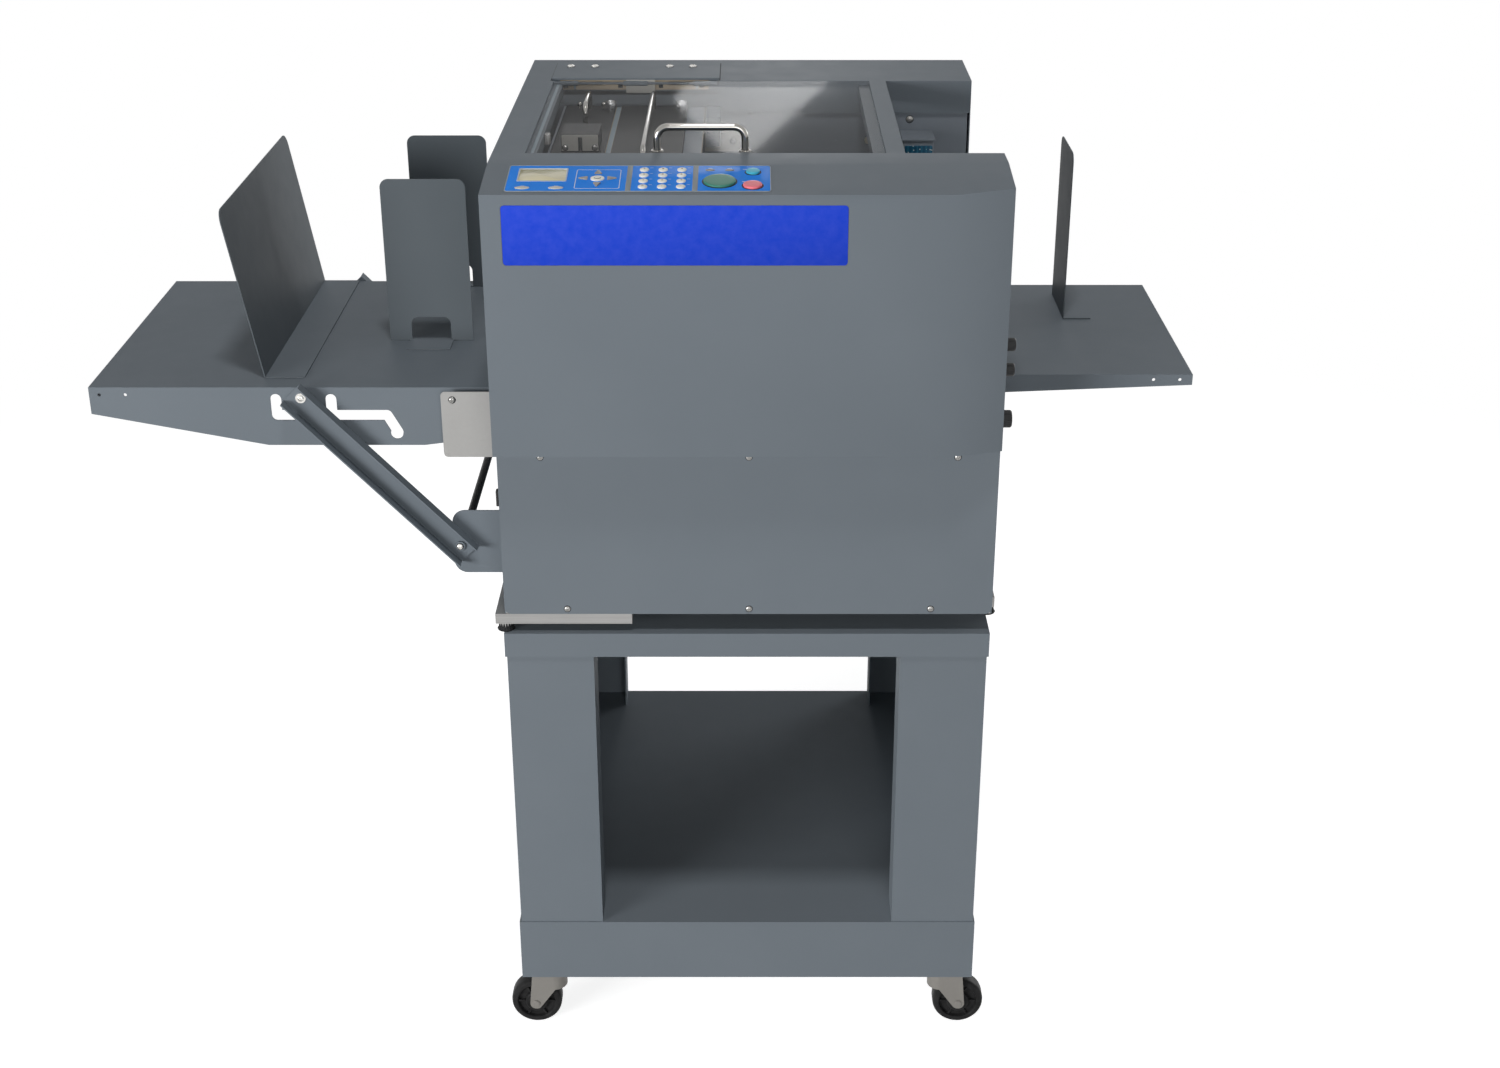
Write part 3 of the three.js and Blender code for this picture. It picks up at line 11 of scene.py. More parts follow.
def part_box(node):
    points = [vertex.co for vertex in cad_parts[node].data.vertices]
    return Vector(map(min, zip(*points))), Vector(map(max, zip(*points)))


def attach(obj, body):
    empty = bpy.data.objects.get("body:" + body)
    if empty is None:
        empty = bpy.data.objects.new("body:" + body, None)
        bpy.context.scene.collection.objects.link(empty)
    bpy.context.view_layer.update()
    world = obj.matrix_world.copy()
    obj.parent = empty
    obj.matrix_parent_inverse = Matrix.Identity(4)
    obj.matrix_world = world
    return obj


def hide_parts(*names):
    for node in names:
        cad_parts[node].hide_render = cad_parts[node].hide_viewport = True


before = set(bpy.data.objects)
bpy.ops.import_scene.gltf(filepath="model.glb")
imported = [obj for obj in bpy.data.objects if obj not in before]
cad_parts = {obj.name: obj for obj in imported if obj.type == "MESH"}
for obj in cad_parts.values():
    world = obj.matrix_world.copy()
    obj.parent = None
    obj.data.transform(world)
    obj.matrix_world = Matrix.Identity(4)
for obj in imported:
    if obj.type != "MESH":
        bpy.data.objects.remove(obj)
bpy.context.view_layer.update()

bl_info = {
    "name": "Paper creasing machine",
    "version": (1, 0, 0),
    "blender": (4, 5, 0),
    "location": "3D View > Sidebar > Creaser",
    "description": "Paint, trim, keys and fasteners for a creasing machine on its cart",
    "category": "Object",
}

MM = 0.001
UP, FRONT, BACK, LEFT, RIGHT = (0, 0, 1), (0, -1, 0), (0, 1, 0), (-1, 0, 0), (1, 0, 0)
(LEFT_X, FRONT_Y, _), (RIGHT_X, _, TOP_Z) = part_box("front_housing")

# What counts as one place, as flat and as sharp in the mesh of a CAD node
SAME_PLACE = 2e-6
FLAT = math.radians(0.5)
SHARP = math.radians(30)
# How many radii of flat sheet a fold and a broken edge need beside them
FOLD_ROOM, EDGE_ROOM = 2.6, 2.2


def tone(code):
    """A six-figure screen colour as the linear values that shaders use."""
    parts = [int(code[i:i + 2], 16) / 255 for i in (0, 2, 4)]
    return tuple(((c + 0.055) / 1.055) ** 2.4 if c > 0.04045 else c / 12.92 for c in parts)


def mixed(one, other, share):
    """A colour on the way from one to another."""
    return tuple(a + (b - a) * share for a, b in zip(one, other))


def darker(shade, share):
    return mixed(shade, (0, 0, 0), share)


def paler(shade, share):
    return mixed(shade, (1, 1, 1), share)


def colour_choice(name, description, code):
    return bpy.props.FloatVectorProperty(
        name=name, description=description, subtype="COLOR", size=3, min=0, max=1, default=tone(code))


def length_choice(name, description, millimetres):
    return bpy.props.FloatProperty(
        name=name, description=description, unit="LENGTH", subtype="DISTANCE", min=0,
        default=millimetres * MM)


class CreaserPaint(bpy.types.PropertyGroup):
    """Colours of the machine's paints, plastics and metals"""

    body: colour_choice("Body paint", "Blue-grey paint of the covers, trays and cart", "727a81")
    guides: colour_choice("Guide paint", "Darker paint of the stops and side guides", "596065")
    works: colour_choice("Works paint", "Black paint of the unit covers under the lid", "1d1e20")
    plated: colour_choice("Plated steel", "Zinc plate of the brackets and the base pan", "9b9a98")
    plate: colour_choice("Name plate", "Blue of the bare plate on the front", "0f3fce")
    film: colour_choice("Key film", "Blue of the operating strip", "1a8cfa")
    keys: colour_choice("Number keys", "Cream of the number keys", "f1eee2")
    start: colour_choice("Start key", "Green of the start key", "2b7a66")
    stop: colour_choice("Stop key", "Red of the stop key", "f27480")
    clear: colour_choice("Clear key", "Teal of the clear key", "36b6d0")


class CreaserSizes(bpy.types.PropertyGroup):
    """Small sizes that the dressing adds to the machine"""

    fold: length_choice("Fold radius", "Outer radius of a folded sheet", 1.5)
    edge: length_choice("Cut edge", "Broken edge of a cut sheet", 0.3)
    mould: length_choice("Moulded edge", "Radius of the front housing's outer edges", 2.2)
    cover_screw: length_choice("Cover screw", "Head radius of the cover screws", 3.4)
    hinge_screw: length_choice("Hinge screw", "Head radius of the hinge plate's screws", 4.6)
    pivot_screw: length_choice("Pivot screw", "Head radius of the arm and bracket screws", 3.6)
    lid_alpha: bpy.props.FloatProperty(
        name="Lid density", description="How much the smoked lid hides", subtype="FACTOR",
        min=0, max=1, default=0.08)


# Shader maths


def put(tree, socket, value):
    """Links a value to a socket, or sets the socket."""
    if isinstance(value, Value):
        tree.links.new(value.socket, socket)
    elif socket.type == "RGBA" and len(value) == 3:
        socket.default_value = (*value, 1)
    else:
        socket.default_value = value


class Value:
    """One number of a shader, which adds its own Math nodes."""

    def __init__(self, tree, socket):
        self.tree = tree
        self.socket = socket

    def _math(self, operation, *values):
        node = self.tree.nodes.new("ShaderNodeMath")
        node.operation = operation
        for socket, value in zip(node.inputs, values):
            put(self.tree, socket, value)
        return Value(self.tree, node.outputs[0])

    def __add__(self, other):
        return self._math("ADD", self, other)

    def __rsub__(self, other):
        return self._math("SUBTRACT", other, self)

    def __mul__(self, other):
        return self._math("MULTIPLY", self, other)

    def __gt__(self, other):
        return self._math("GREATER_THAN", self, other)

    def __lt__(self, other):
        return self._math("LESS_THAN", self, other)

    def most(self, other):
        """The greater of two values."""
        return self._math("MAXIMUM", self, other)


class Shader:
    """The nodes of one shader."""

    def __init__(self, tree):
        self.tree = tree
        tree.nodes.clear()

    def node(self, kind, settings=None, values=None, output=0):
        """Adds a node: its settings first, then the values or links of its sockets."""
        node = self.tree.nodes.new(kind)
        for key, value in (settings or {}).items():
            if key == "stops":
                for position, grey in value:
                    node.color_ramp.elements.new(position).color = (grey, grey, grey, 1)
                node.color_ramp.elements.remove(node.color_ramp.elements[0])
                node.color_ramp.elements.remove(node.color_ramp.elements[-1])
            else:
                setattr(node, key, value)
        for key, value in (values or {}).items():
            put(self.tree, node.inputs[key], value)
        return Value(self.tree, node.outputs[output])

    def looked_at(self):
        """1 for a ray that the camera sees, straight, mirrored or through the lid."""
        paths = self.tree.nodes.new("ShaderNodeLightPath")
        seen, mirrored, through = (Value(self.tree, paths.outputs[f"Is {ray} Ray"])
                                   for ray in ("Camera", "Glossy", "Transmission"))
        return seen.most(mirrored).most(through)

    def end(self, shader, kind="ShaderNodeOutputMaterial"):
        """Ends the tree with a shader on its surface."""
        self.tree.links.new(shader.socket, self.tree.nodes.new(kind).inputs["Surface"])


class Finish(Shader):
    """A material and the nodes that it is made from."""

    def __init__(self, name):
        self.material = bpy.data.materials.new(name)
        self.material.use_nodes = True
        super().__init__(self.material.node_tree)
        self.place = self.node("ShaderNodeTexCoord", output="Object")

    def stretched(self, scale):
        """The place on the piece, stretched by a scale of each direction."""
        return self.node("ShaderNodeMapping", values={"Vector": self.place, "Scale": scale})

    def noise(self, scale, detail=2.0, roughness=0.5, place=None):
        return self.node("ShaderNodeTexNoise", values={
            "Vector": place or self.place, "Scale": scale, "Detail": detail, "Roughness": roughness})

    def cells(self, randomness, output):
        """Small cells without an order."""
        return self.node("ShaderNodeTexVoronoi", {"feature": "F1"}, {
            "Vector": self.place, "Scale": 260.0, "Randomness": randomness}, output)

    def waves(self, direction, scale, distortion):
        return self.node("ShaderNodeTexWave", {"bands_direction": direction}, {
            "Vector": self.place, "Scale": scale, "Distortion": distortion}, "Fac")

    def grey(self, colour):
        return self.node("ShaderNodeRGBToBW", values={"Color": colour})

    def spread(self, value, low, high):
        """A value from 0 to 1 as one from low to high."""
        return value * (high - low) + low

    def shades(self, share, first, second):
        """A colour between two, by a share."""
        return self.node("ShaderNodeMix", {"data_type": "RGBA"}, {0: share, 6: first, 7: second}, output=2)

    def bump(self, height, distance, strength=1.0):
        return self.node("ShaderNodeBump", values={
            "Strength": strength, "Distance": distance * MM, "Height": height})

    def surface(self, colour, roughness, normal, shine=0.5, metallic=0.0, alpha=1.0):
        """The shader that ends the material."""
        self.end(self.node("ShaderNodeBsdfPrincipled", values={
            "Base Color": colour, "Roughness": roughness, "Specular IOR Level": shine,
            "Metallic": metallic, "Alpha": alpha, "Normal": normal}))
        return self.material


def coated(name, shade, roughness=0.5, grain=900.0, depth=0.05, mottle=0.05, shine=0.08):
    """Paint or moulded plastic: a fine skin, and slight changes of colour and gloss."""
    finish = Finish(name)
    skin = finish.noise(grain, 2.0)
    base = finish.shades(finish.noise(7.0, 3.0, 0.55), darker(shade, mottle), paler(shade, mottle * 0.35))
    return finish.surface(
        finish.shades(finish.spread(skin, 0, 0.14), base, darker(shade, 0.35)),
        finish.spread(finish.noise(38.0, 4.0, 0.6), roughness - 0.07, roughness + 0.07),
        finish.bump(skin + finish.noise(grain * 0.3, 1.0) * 0.6, depth, 0.35), shine)


def brushed(name, shade, roughness=0.32, along=(1, 1, 1), metallic=0.9, streak=0.14):
    """Ground or rolled metal, with its grain along one direction."""
    finish = Finish(name)
    lines = finish.noise(1.0, 3.0, 0.65, finish.stretched(along))
    cloud = finish.noise(22.0, 3.0, 0.6)
    base = finish.shades(lines, darker(shade, streak), paler(shade, streak * 0.5))
    return finish.surface(
        finish.shades(finish.spread(cloud, 0, 0.25), base, darker(shade, 0.25)),
        finish.spread(lines, roughness - 0.08, roughness + 0.1),
        finish.bump(lines, 0.02, 0.25), metallic=metallic)


def zinc(name, shade, roughness=0.42, metallic=0.5):
    """Zinc plate, with its faint spangle and water marks."""
    finish = Finish(name)
    spangle = finish.grey(finish.cells(1.0, "Color"))
    cloud = finish.noise(30.0, 4.0, 0.6)
    base = finish.shades(finish.spread(spangle, 0, 0.25), shade, darker(shade, 0.12))
    return finish.surface(
        finish.shades(finish.spread(cloud, 0, 0.15), base, paler(shade, 0.2)),
        finish.spread(spangle * 0.3 + cloud * 0.7, roughness - 0.05, roughness + 0.07),
        finish.bump(cloud, 0.02, 0.15), 0.3, metallic)


def polished(name, shade):
    """Chrome, with faint wipe marks."""
    finish = Finish(name)
    wiped = finish.noise(60.0, 4.0, 0.7)
    return finish.surface(
        finish.shades(wiped, shade, darker(shade, 0.08)), finish.spread(wiped, 0.06, 0.17),
        finish.bump(finish.noise(400.0), 0.01, 0.1), metallic=1.0)


def rubber(name, shade, roughness=0.6, grain=500.0, dust=0.12):
    """Rubber, with a matt grain and a little paper dust."""
    finish = Finish(name)
    skin = finish.noise(grain, 3.0)
    dusty = finish.node("ShaderNodeValToRGB", {"stops": [(0.0, 0.0), (0.55, 0.0), (0.8, 1.0), (1.0, 1.0)]},
                        {"Fac": finish.noise(45.0, 5.0, 0.65)})
    return finish.surface(
        finish.shades(finish.grey(dusty) * dust, shade, (0.5, 0.5, 0.48)),
        finish.spread(skin, roughness - 0.1, roughness + 0.1), finish.bump(skin, 0.1, 0.4), 0.18)


def glossy_plastic(name, shade, roughness=0.32, shine=0.25):
    """Smooth moulded plastic of a key or knob, worn a little duller where it is touched."""
    finish = Finish(name)
    touched = finish.noise(90.0, 4.0, 0.6)
    return finish.surface(
        finish.shades(touched, darker(shade, 0.06), paler(shade, 0.04)),
        finish.spread(touched, roughness - 0.08, roughness + 0.1),
        finish.bump(finish.noise(1500.0, 2.0), 0.02, 0.2), shine)


def key_film(name, shade):
    """Printed film of the operating strip: a fine matt texture over a clean colour."""
    finish = Finish(name)
    cloud = finish.noise(26.0, 3.0)
    return finish.surface(
        finish.shades(cloud, darker(shade, 0.05), paler(shade, 0.03)), finish.spread(cloud, 0.36, 0.5),
        finish.bump(finish.noise(2400.0, 1.0), 0.03, 0.25), 0.04)


def display(name, shade):
    """A lit display, with rows of small dark cells that stand for its letters."""
    finish = Finish(name)
    cells = finish.node("ShaderNodeTexBrick", {"offset": 0.0, "squash": 1.0}, {
        "Vector": finish.place, "Scale": 420.0, "Mortar Size": 0.28, "Mortar Smooth": 0.1,
        "Color1": (0, 0, 0), "Color2": (0, 0, 0), "Mortar": (1, 1, 1)}, output="Color")
    words = finish.noise(95.0, 1.0) > 0.56
    ink = (1 - finish.grey(cells)) * words * (finish.waves("Y", 40.0, 0.0) > 0.62)
    glow = finish.noise(32.0, 2.0)
    return finish.surface(
        finish.shades(ink * 0.75, finish.shades(glow, shade, tone("ece4be")), tone("4c4a38")),
        finish.spread(glow, 0.12, 0.22), finish.bump(finish.noise(900.0), 0.01, 0.1), 0.3)


def smoked(name, shade, alpha):
    """The clear smoked sheet of the lid, with faint wipe marks."""
    finish = Finish(name)
    wiped = finish.noise(16.0, 5.0, 0.65)
    return finish.surface(
        finish.shades(wiped, shade, tone("202428")), finish.spread(wiped, 0.02, 0.07),
        finish.bump(finish.noise(6.0, 2.0), 0.02, 0.1), 0.36,
        alpha=finish.spread(wiped, alpha - 0.01, alpha + 0.015))


def circuit_board(name, shade):
    """A teal printed board with pale marks."""
    finish = Finish(name)
    dots = finish.cells(0.6, "Distance")
    lines = finish.waves("X", 55.0, 3.0)
    base = finish.shades((lines > 0.7) * 0.35, shade, tone("3d86a3"))
    return finish.surface(
        finish.shades(dots < 0.22, base, tone("cfd8d6")), finish.spread(lines, 0.3, 0.5),
        finish.bump(dots, 0.1, 0.4), 0.2)


# Each finish: its slot, what makes it, its name, its colour or the user's choice of one, and how it differs
FINISHES = {
    "body": ("body_paint", coated, "Body paint", "body", 0.56),
    "housing": ("body_plastic", coated, "Housing paint", "body", 0.52, 1300.0, 0.06, 0.04),
    "guides": ("dark_paint", coated, "Guide paint", "guides", 0.5, 1000.0),
    "works": ("black_paint", coated, "Works paint", "works", 0.46, 900.0, 0.002, 0.1, 0.06),
    "inner": ("ground_steel", coated, "Frame paint", "868d95", 0.42, 2600.0, 0.01, 0.04),
    "pale": ("body_paint", coated, "Pale tape", "9fb0ba", 0.5, 1200.0, 0.03, 0.08),
    "tan": ("body_paint", coated, "Sensor strip", "ab9c86", 0.5, 900.0, 0.03, 0.1),
    "plated": ("plated_steel", zinc, "Plated steel", "plated"),
    "rail": ("plated_steel", brushed, "Rail steel", "9d9c9a", 0.34, (9, 9, 900), 0.4, 0.3),
    "pressed": ("plated_steel", zinc, "Pressed steel", "7f7c77", 0.46, 0.35),
    "tin": ("plated_steel", coated, "Tinned steel", "c4c2bb", 0.36, 2600.0, 0.01, 0.06, 0.3),
    "ground": ("ground_steel", brushed, "Ground steel", "a6a8aa", 0.3, (600, 18, 600)),
    "turned": ("plated_steel", brushed, "Turned steel", "b9babb", 0.25, (900, 40, 900)),
    "screw": ("plated_steel", brushed, "Screw steel", "93928f", 0.3, (500, 500, 500), 0.9, 0.2),
    "bright": ("plated_steel", brushed, "Bright screw", "e9e7e2", 0.24, (500, 500, 500), 0.6, 0.1),
    "chrome": ("chrome_rod", polished, "Chrome rod", "989692"),
    "black": ("black_plastic", coated, "Black plastic", "17181a", 0.42, 1100.0, 0.06, 0.1, 0.18),
    "knob": ("black_plastic", glossy_plastic, "Knob plastic", "141517", 0.38, 0.2),
    "tyre": ("wheel_rubber", glossy_plastic, "Wheel tread", "0c0c0d", 0.4, 0.05),
    "hub": ("wheel_rubber", glossy_plastic, "Wheel hub", "020202", 0.6, 0.02),
    "foot": ("wheel_rubber", rubber, "Foot rubber", "17181a", 0.65),
    "roller": ("roller_rubber", rubber, "Roller rubber", "26282a", 0.62, 700.0, 0.25),
    "belt": ("wheel_rubber", rubber, "Belt rubber", "1b1c1d", 0.55, 600.0, 0.2),
    "plate": ("blue_film", glossy_plastic, "Plate blue", "plate", 0.46, 0.03),
    "film": ("blue_film", key_film, "Strip blue", "film"),
    "print": ("blue_film", key_film, "White print", "dfe8f4"),
    "ink": ("black_plastic", key_film, "Key ink", "34383c"),
    "trim": ("body_plastic", coated, "Strip trim", "a3adb3", 0.45, 1500.0, 0.02),
    "divider": ("body_plastic", coated, "Strip divider", "8b9194", 0.5, 1500.0, 0.02),
    "bezel": ("body_plastic", coated, "Display bezel", "c2cbd6", 0.4, 1500.0, 0.02),
    "display": ("black_plastic", display, "Display", "cabf96"),
    "keys": ("body_plastic", glossy_plastic, "Key cream", "keys", 0.4, 0.3),
    "arrows": ("body_plastic", glossy_plastic, "Key grey", "8f8a83", 0.34, 0.3),
    "pads": ("body_plastic", glossy_plastic, "Key silver", "c3c0b8", 0.34, 0.3),
    "start": ("green_plastic", glossy_plastic, "Key green", "start"),
    "stop": ("red_plastic", glossy_plastic, "Key red", "stop"),
    "clear": ("teal_plastic", glossy_plastic, "Key teal", "clear"),
    "board": ("teal_plastic", circuit_board, "Circuit board", "1d5570"),
    "cream": ("body_plastic", glossy_plastic, "Cream plastic", "cfc6ae", 0.45),
    # Painted shade: the dark of holes, slots, seams and the seats round screw heads
    "hole": ("black_paint", coated, "Hole shade", "1c1f22", 0.7, 900.0, 0.02, 0.1),
}


@functools.cache
def paints():
    """Makes every finish, once."""
    scene = bpy.context.scene
    chosen = {key: tuple(getattr(scene.creaser_paint, key)) for key in CreaserPaint.__annotations__}
    made = {key: make(name, chosen[colour] if colour in chosen else tone(colour), *how)
            for key, (_, make, name, colour, *how) in FINISHES.items()}
    made["lid"] = smoked("Smoked lid", tone("15181b"), scene.creaser_sizes.lid_alpha)
    return made


# Mesh work


def added(name, data):
    """A new object in the scene."""
    obj = bpy.data.objects.new(name, data)
    bpy.context.scene.collection.objects.link(obj)
    return obj


def new_piece(name, mesh, finishes, body="machine", replaces=()):
    """Puts a finished mesh in the scene, on its body, in its finish or finishes."""
    if name in bpy.data.objects:
        raise RuntimeError(f"There are two pieces called {name}")
    obj = added(name, mesh)
    finishes = [finishes] if isinstance(finishes, str) else finishes
    mesh.materials.clear()
    for finish in finishes:
        mesh.materials.append(paints()[finish])
    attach(obj, body)
    if replaces:
        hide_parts(*replaces)
    return obj


def shaded(mesh, sharp=35):
    """Smooth faces, except at edges sharper than an angle in degrees."""
    mesh.shade_smooth()
    mesh.set_sharp_from_angle(angle=math.radians(sharp))
    return mesh


def to_mesh(bm, name, sharp=35):
    """A finished bmesh as a mesh, with its faces outwards."""
    bmesh.ops.remove_doubles(bm, verts=bm.verts, dist=1e-6)
    bmesh.ops.recalc_face_normals(bm, faces=bm.faces)
    mesh = bpy.data.meshes.new(name)
    bm.to_mesh(mesh)
    bm.free()
    return shaded(mesh, sharp)


def built(name, bm, finishes, body="machine", replaces=(), sharp=35):
    """A finished bmesh as a piece."""
    return new_piece(name, to_mesh(bm, name, sharp), finishes, body, replaces)


def settled(obj):
    """The mesh of an object with its modifiers worked in, and the object gone."""
    graph = bpy.context.evaluated_depsgraph_get()
    mesh = bpy.data.meshes.new_from_object(obj.evaluated_get(graph), depsgraph=graph)
    bpy.data.objects.remove(obj)
    return mesh


def merged_copy(node):
    """A CAD node's mesh in one piece, with the triangles of each flat face joined."""
    bm = bmesh.new()
    bm.from_mesh(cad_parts[node].data)
    bmesh.ops.remove_doubles(bm, verts=bm.verts, dist=SAME_PLACE)
    bmesh.ops.dissolve_limit(bm, angle_limit=math.radians(0.6), verts=bm.verts, edges=bm.edges)
    return bm


def flat_patches(bm):
    """Groups of faces that lie in one plane and touch."""
    bm.faces.index_update()
    seen = set()
    patches = []
    for start in bm.faces:
        if start.index in seen:
            continue
        patch = [start]
        seen.add(start.index)
        for face in patch:
            for e in face.edges:
                for other in e.link_faces:
                    if other.index not in seen and e.calc_face_angle(0) < FLAT:
                        seen.add(other.index)
                        patch.append(other)
        patches.append(patch)
    return patches


def edge_widths(bm):
    """How wide the flat surface is beside each edge, on its narrower side."""
    widths = {}
    for patch in flat_patches(bm):
        normal = patch[0].normal
        across = normal.orthogonal().normalized()
        up = normal.cross(across)
        rim = [loop for face in patch for loop in face.loops
               if len(loop.edge.link_faces) != 2 or loop.edge.calc_face_angle(0) >= FLAT]
        starts = np.array([(across.dot(loop.vert.co), up.dot(loop.vert.co)) for loop in rim])
        ends = np.array([(across.dot(loop.link_loop_next.vert.co), up.dot(loop.link_loop_next.vert.co))
                         for loop in rim])
        spans = ends - starts
        inward = np.stack([-spans[:, 1], spans[:, 0]], axis=1)
        inward /= np.maximum(np.linalg.norm(inward, axis=1), 1e-9)[:, None]
        widest = np.full(len(rim), np.inf)
        for share in (0.12, 0.5, 0.88):
            origins = starts + spans * share
            to_start = starts[None, :, :] - origins[:, None, :]
            facing = inward[:, None, 0] * spans[None, :, 1] - inward[:, None, 1] * spans[None, :, 0]
            facing = np.where(np.abs(facing) < 1e-12, np.nan, facing)
            reach = (to_start[:, :, 0] * spans[None, :, 1] - to_start[:, :, 1] * spans[None, :, 0]) / facing
            place = (to_start[:, :, 0] * inward[:, None, 1] - to_start[:, :, 1] * inward[:, None, 0]) / facing
            met = (reach > 1e-6) & (place > -1e-4) & (place < 1.0001)
            widest = np.minimum(widest, np.where(met, reach, np.inf).min(axis=1))
        for loop, width in zip(rim, widest):
            widths[loop.edge] = min(width, widths.get(loop.edge, np.inf))
    return widths


def softened_mesh(node, fold, edge, segments):
    """The node with its folds rounded and its cut edges broken, as a real sheet or moulding has them."""
    bm = merged_copy(node)
    widths = edge_widths(bm)
    weights = bm.edges.layers.float.new("bevel_weight_edge")
    for e in bm.edges:
        if not e.is_manifold:
            continue
        bend, room, length = e.calc_face_angle_signed(0), widths.get(e, 0), e.calc_length()
        if bend < -SHARP:
            e.smooth = False
        elif bend < SHARP:
            continue
        elif room > FOLD_ROOM * fold and length > 3 * fold:
            e[weights] = 1.0
        elif room > EDGE_ROOM * edge and length > EDGE_ROOM * edge:
            e[weights] = edge / fold
        else:
            e.smooth = False
    for f in bm.faces:
        f.smooth = True
    mesh = bpy.data.meshes.new("soft")
    bm.to_mesh(mesh)
    bm.free()
    obj = added("soft", mesh)
    round_off = obj.modifiers.new("Round off", "BEVEL")
    round_off.limit_method = "WEIGHT"
    round_off.width = fold
    round_off.segments = segments
    round_off.use_clamp_overlap = False
    round_off.harden_normals = True
    return settled(obj)


def soften(node, finish, fold=None, edge=None, body="machine", segments=3):
    """Stands a softened copy in for a CAD node."""
    sizes = bpy.context.scene.creaser_sizes
    mesh = softened_mesh(node, fold or sizes.fold, edge or sizes.edge, segments)
    return new_piece(f"{node}_dressed", mesh, finish, body, [node])


def refinish(node, finish):
    """Gives a CAD node that stays its detailed finish."""
    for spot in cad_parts[node].material_slots:
        spot.material = paints()[finish]


def ring(bm, frame_at, radius, height, sides, shape=None):
    """One ring of a turned piece: its axis is the frame's Z."""
    ends = []
    for i in range(sides):
        angle = 2 * math.pi * i / sides
        r = radius * (shape(angle) if shape else 1)
        ends.append(bm.verts.new(frame_at @ Vector((r * math.cos(angle), r * math.sin(angle), height))))
    return ends


def turn(bm, frame_at, profile, sides=48, shapes=None, finish=0):
    """A turned solid. The profile is radius and height, from one end of the axis to the other."""
    last = None
    for i, (radius, height) in enumerate(profile):
        if radius == 0:
            now = [bm.verts.new(frame_at @ Vector((0, 0, height)))]
        else:
            now = ring(bm, frame_at, radius, height, sides, shapes and shapes.get(i))
        if last:
            for k in range(sides):
                one, two = k, (k + 1) % sides
                corners = [last[one % len(last)], last[two % len(last)],
                           now[two % len(now)], now[one % len(now)]]
                corners = [c for n, c in enumerate(corners) if c not in corners[:n]]
                if len(corners) > 2:
                    bm.faces.new(corners).material_index = finish
        last = now


def fluted(count, depth, power=1):
    """How a radius changes round an edge with flutes."""
    return lambda angle: 1 - depth * (0.5 + 0.5 * math.cos(angle * count)) ** power


def standing(place, towards, turned=0.0):
    """A frame at a place whose Z points one way."""
    turn_to = Vector(towards).normalized().to_track_quat("Z", "Y")
    return Matrix.Translation(place) @ turn_to.to_matrix().to_4x4() @ Matrix.Rotation(turned, 4, "Z")


def on_wall(place, turned=90):
    """A frame on an upright face, with X across. Its Z points to the front, or to the back for -90."""
    return Matrix.Translation(place) @ Matrix.Rotation(math.radians(turned), 4, "X")


def round_corners(width, height, radius, steps=6):
    """Points of a rectangle with round corners, about its middle."""
    points = []
    for cx, cy, start in ((1, 1, 0), (-1, 1, 90), (-1, -1, 180), (1, -1, 270)):
        for i in range(steps + 1):
            a = math.radians(start + 90 * i / steps)
            points.append((cx * (width / 2 - radius) + radius * math.cos(a),
                           cy * (height / 2 - radius) + radius * math.sin(a)))
    return points


def joined(bm, rings, ends=True, finish=0):
    """The faces from ring to ring, and over the last and the first one."""
    for low, high in zip(rings, rings[1:]):
        for k in range(len(low)):
            after = (k + 1) % len(low)
            bm.faces.new((low[k], low[after], high[after], high[k])).material_index = finish
    if ends:
        bm.faces.new(rings[-1]).material_index = finish
        bm.faces.new(list(reversed(rings[0]))).material_index = finish


def lines_of(bm, at, *levels):
    """Rings of points, each from an outline and a height in a frame."""
    return [[bm.verts.new(at @ Vector((x, y, z))) for x, y in line] for line, z in levels]


def slab(bm, at, points, bottom, top, break_edge=0.0, finish=0):
    """A flat piece with an outline in the frame's XY, from bottom to top along its Z, with a broken rim."""
    centre = Vector([sum(across) / len(points) for across in zip(*points)])
    points = [Vector(p) for p in points]
    levels = [(bottom, 0.0), (top, 0.0)]
    if break_edge:
        levels[1:] = [(top - break_edge, 0.0), (top - break_edge * 0.3, 0.3 * break_edge), (top, break_edge)]
    joined(bm, lines_of(bm, at, *(
        ([p - (p - centre).normalized() * inset for p in points], height) for height, inset in levels)),
        finish=finish)


def band(bm, at, outer, inner, bottom, top):
    """A flat ring between two outlines of as many points."""
    rings = lines_of(bm, at, (outer, bottom), (outer, top), (inner, top), (inner, bottom))
    joined(bm, rings + rings[:1], ends=False)


def box_slab(bm, low, high, break_edge=0.0, corner=0.0006):
    """An upright box between two corners, with round upright edges and a broken top rim."""
    low, high = Vector(low), Vector(high)
    size = high - low
    corner = min(corner, size.x * 0.45, size.y * 0.45)
    break_edge = min(break_edge, size.z * 0.4, corner) if break_edge else 0.0
    middle = Vector(((low.x + high.x) / 2, (low.y + high.y) / 2, 0))
    slab(bm, Matrix.Translation(middle), round_corners(size.x, size.y, corner, 3), low.z, high.z, break_edge)


def boxes(name, finish, corners, slot=None, edge=0.0003):
    """A piece made of upright boxes, each between two corners."""
    bm = bmesh.new()
    for low, high in corners:
        box_slab(bm, low, high, edge)
    return built(name, bm, finish)


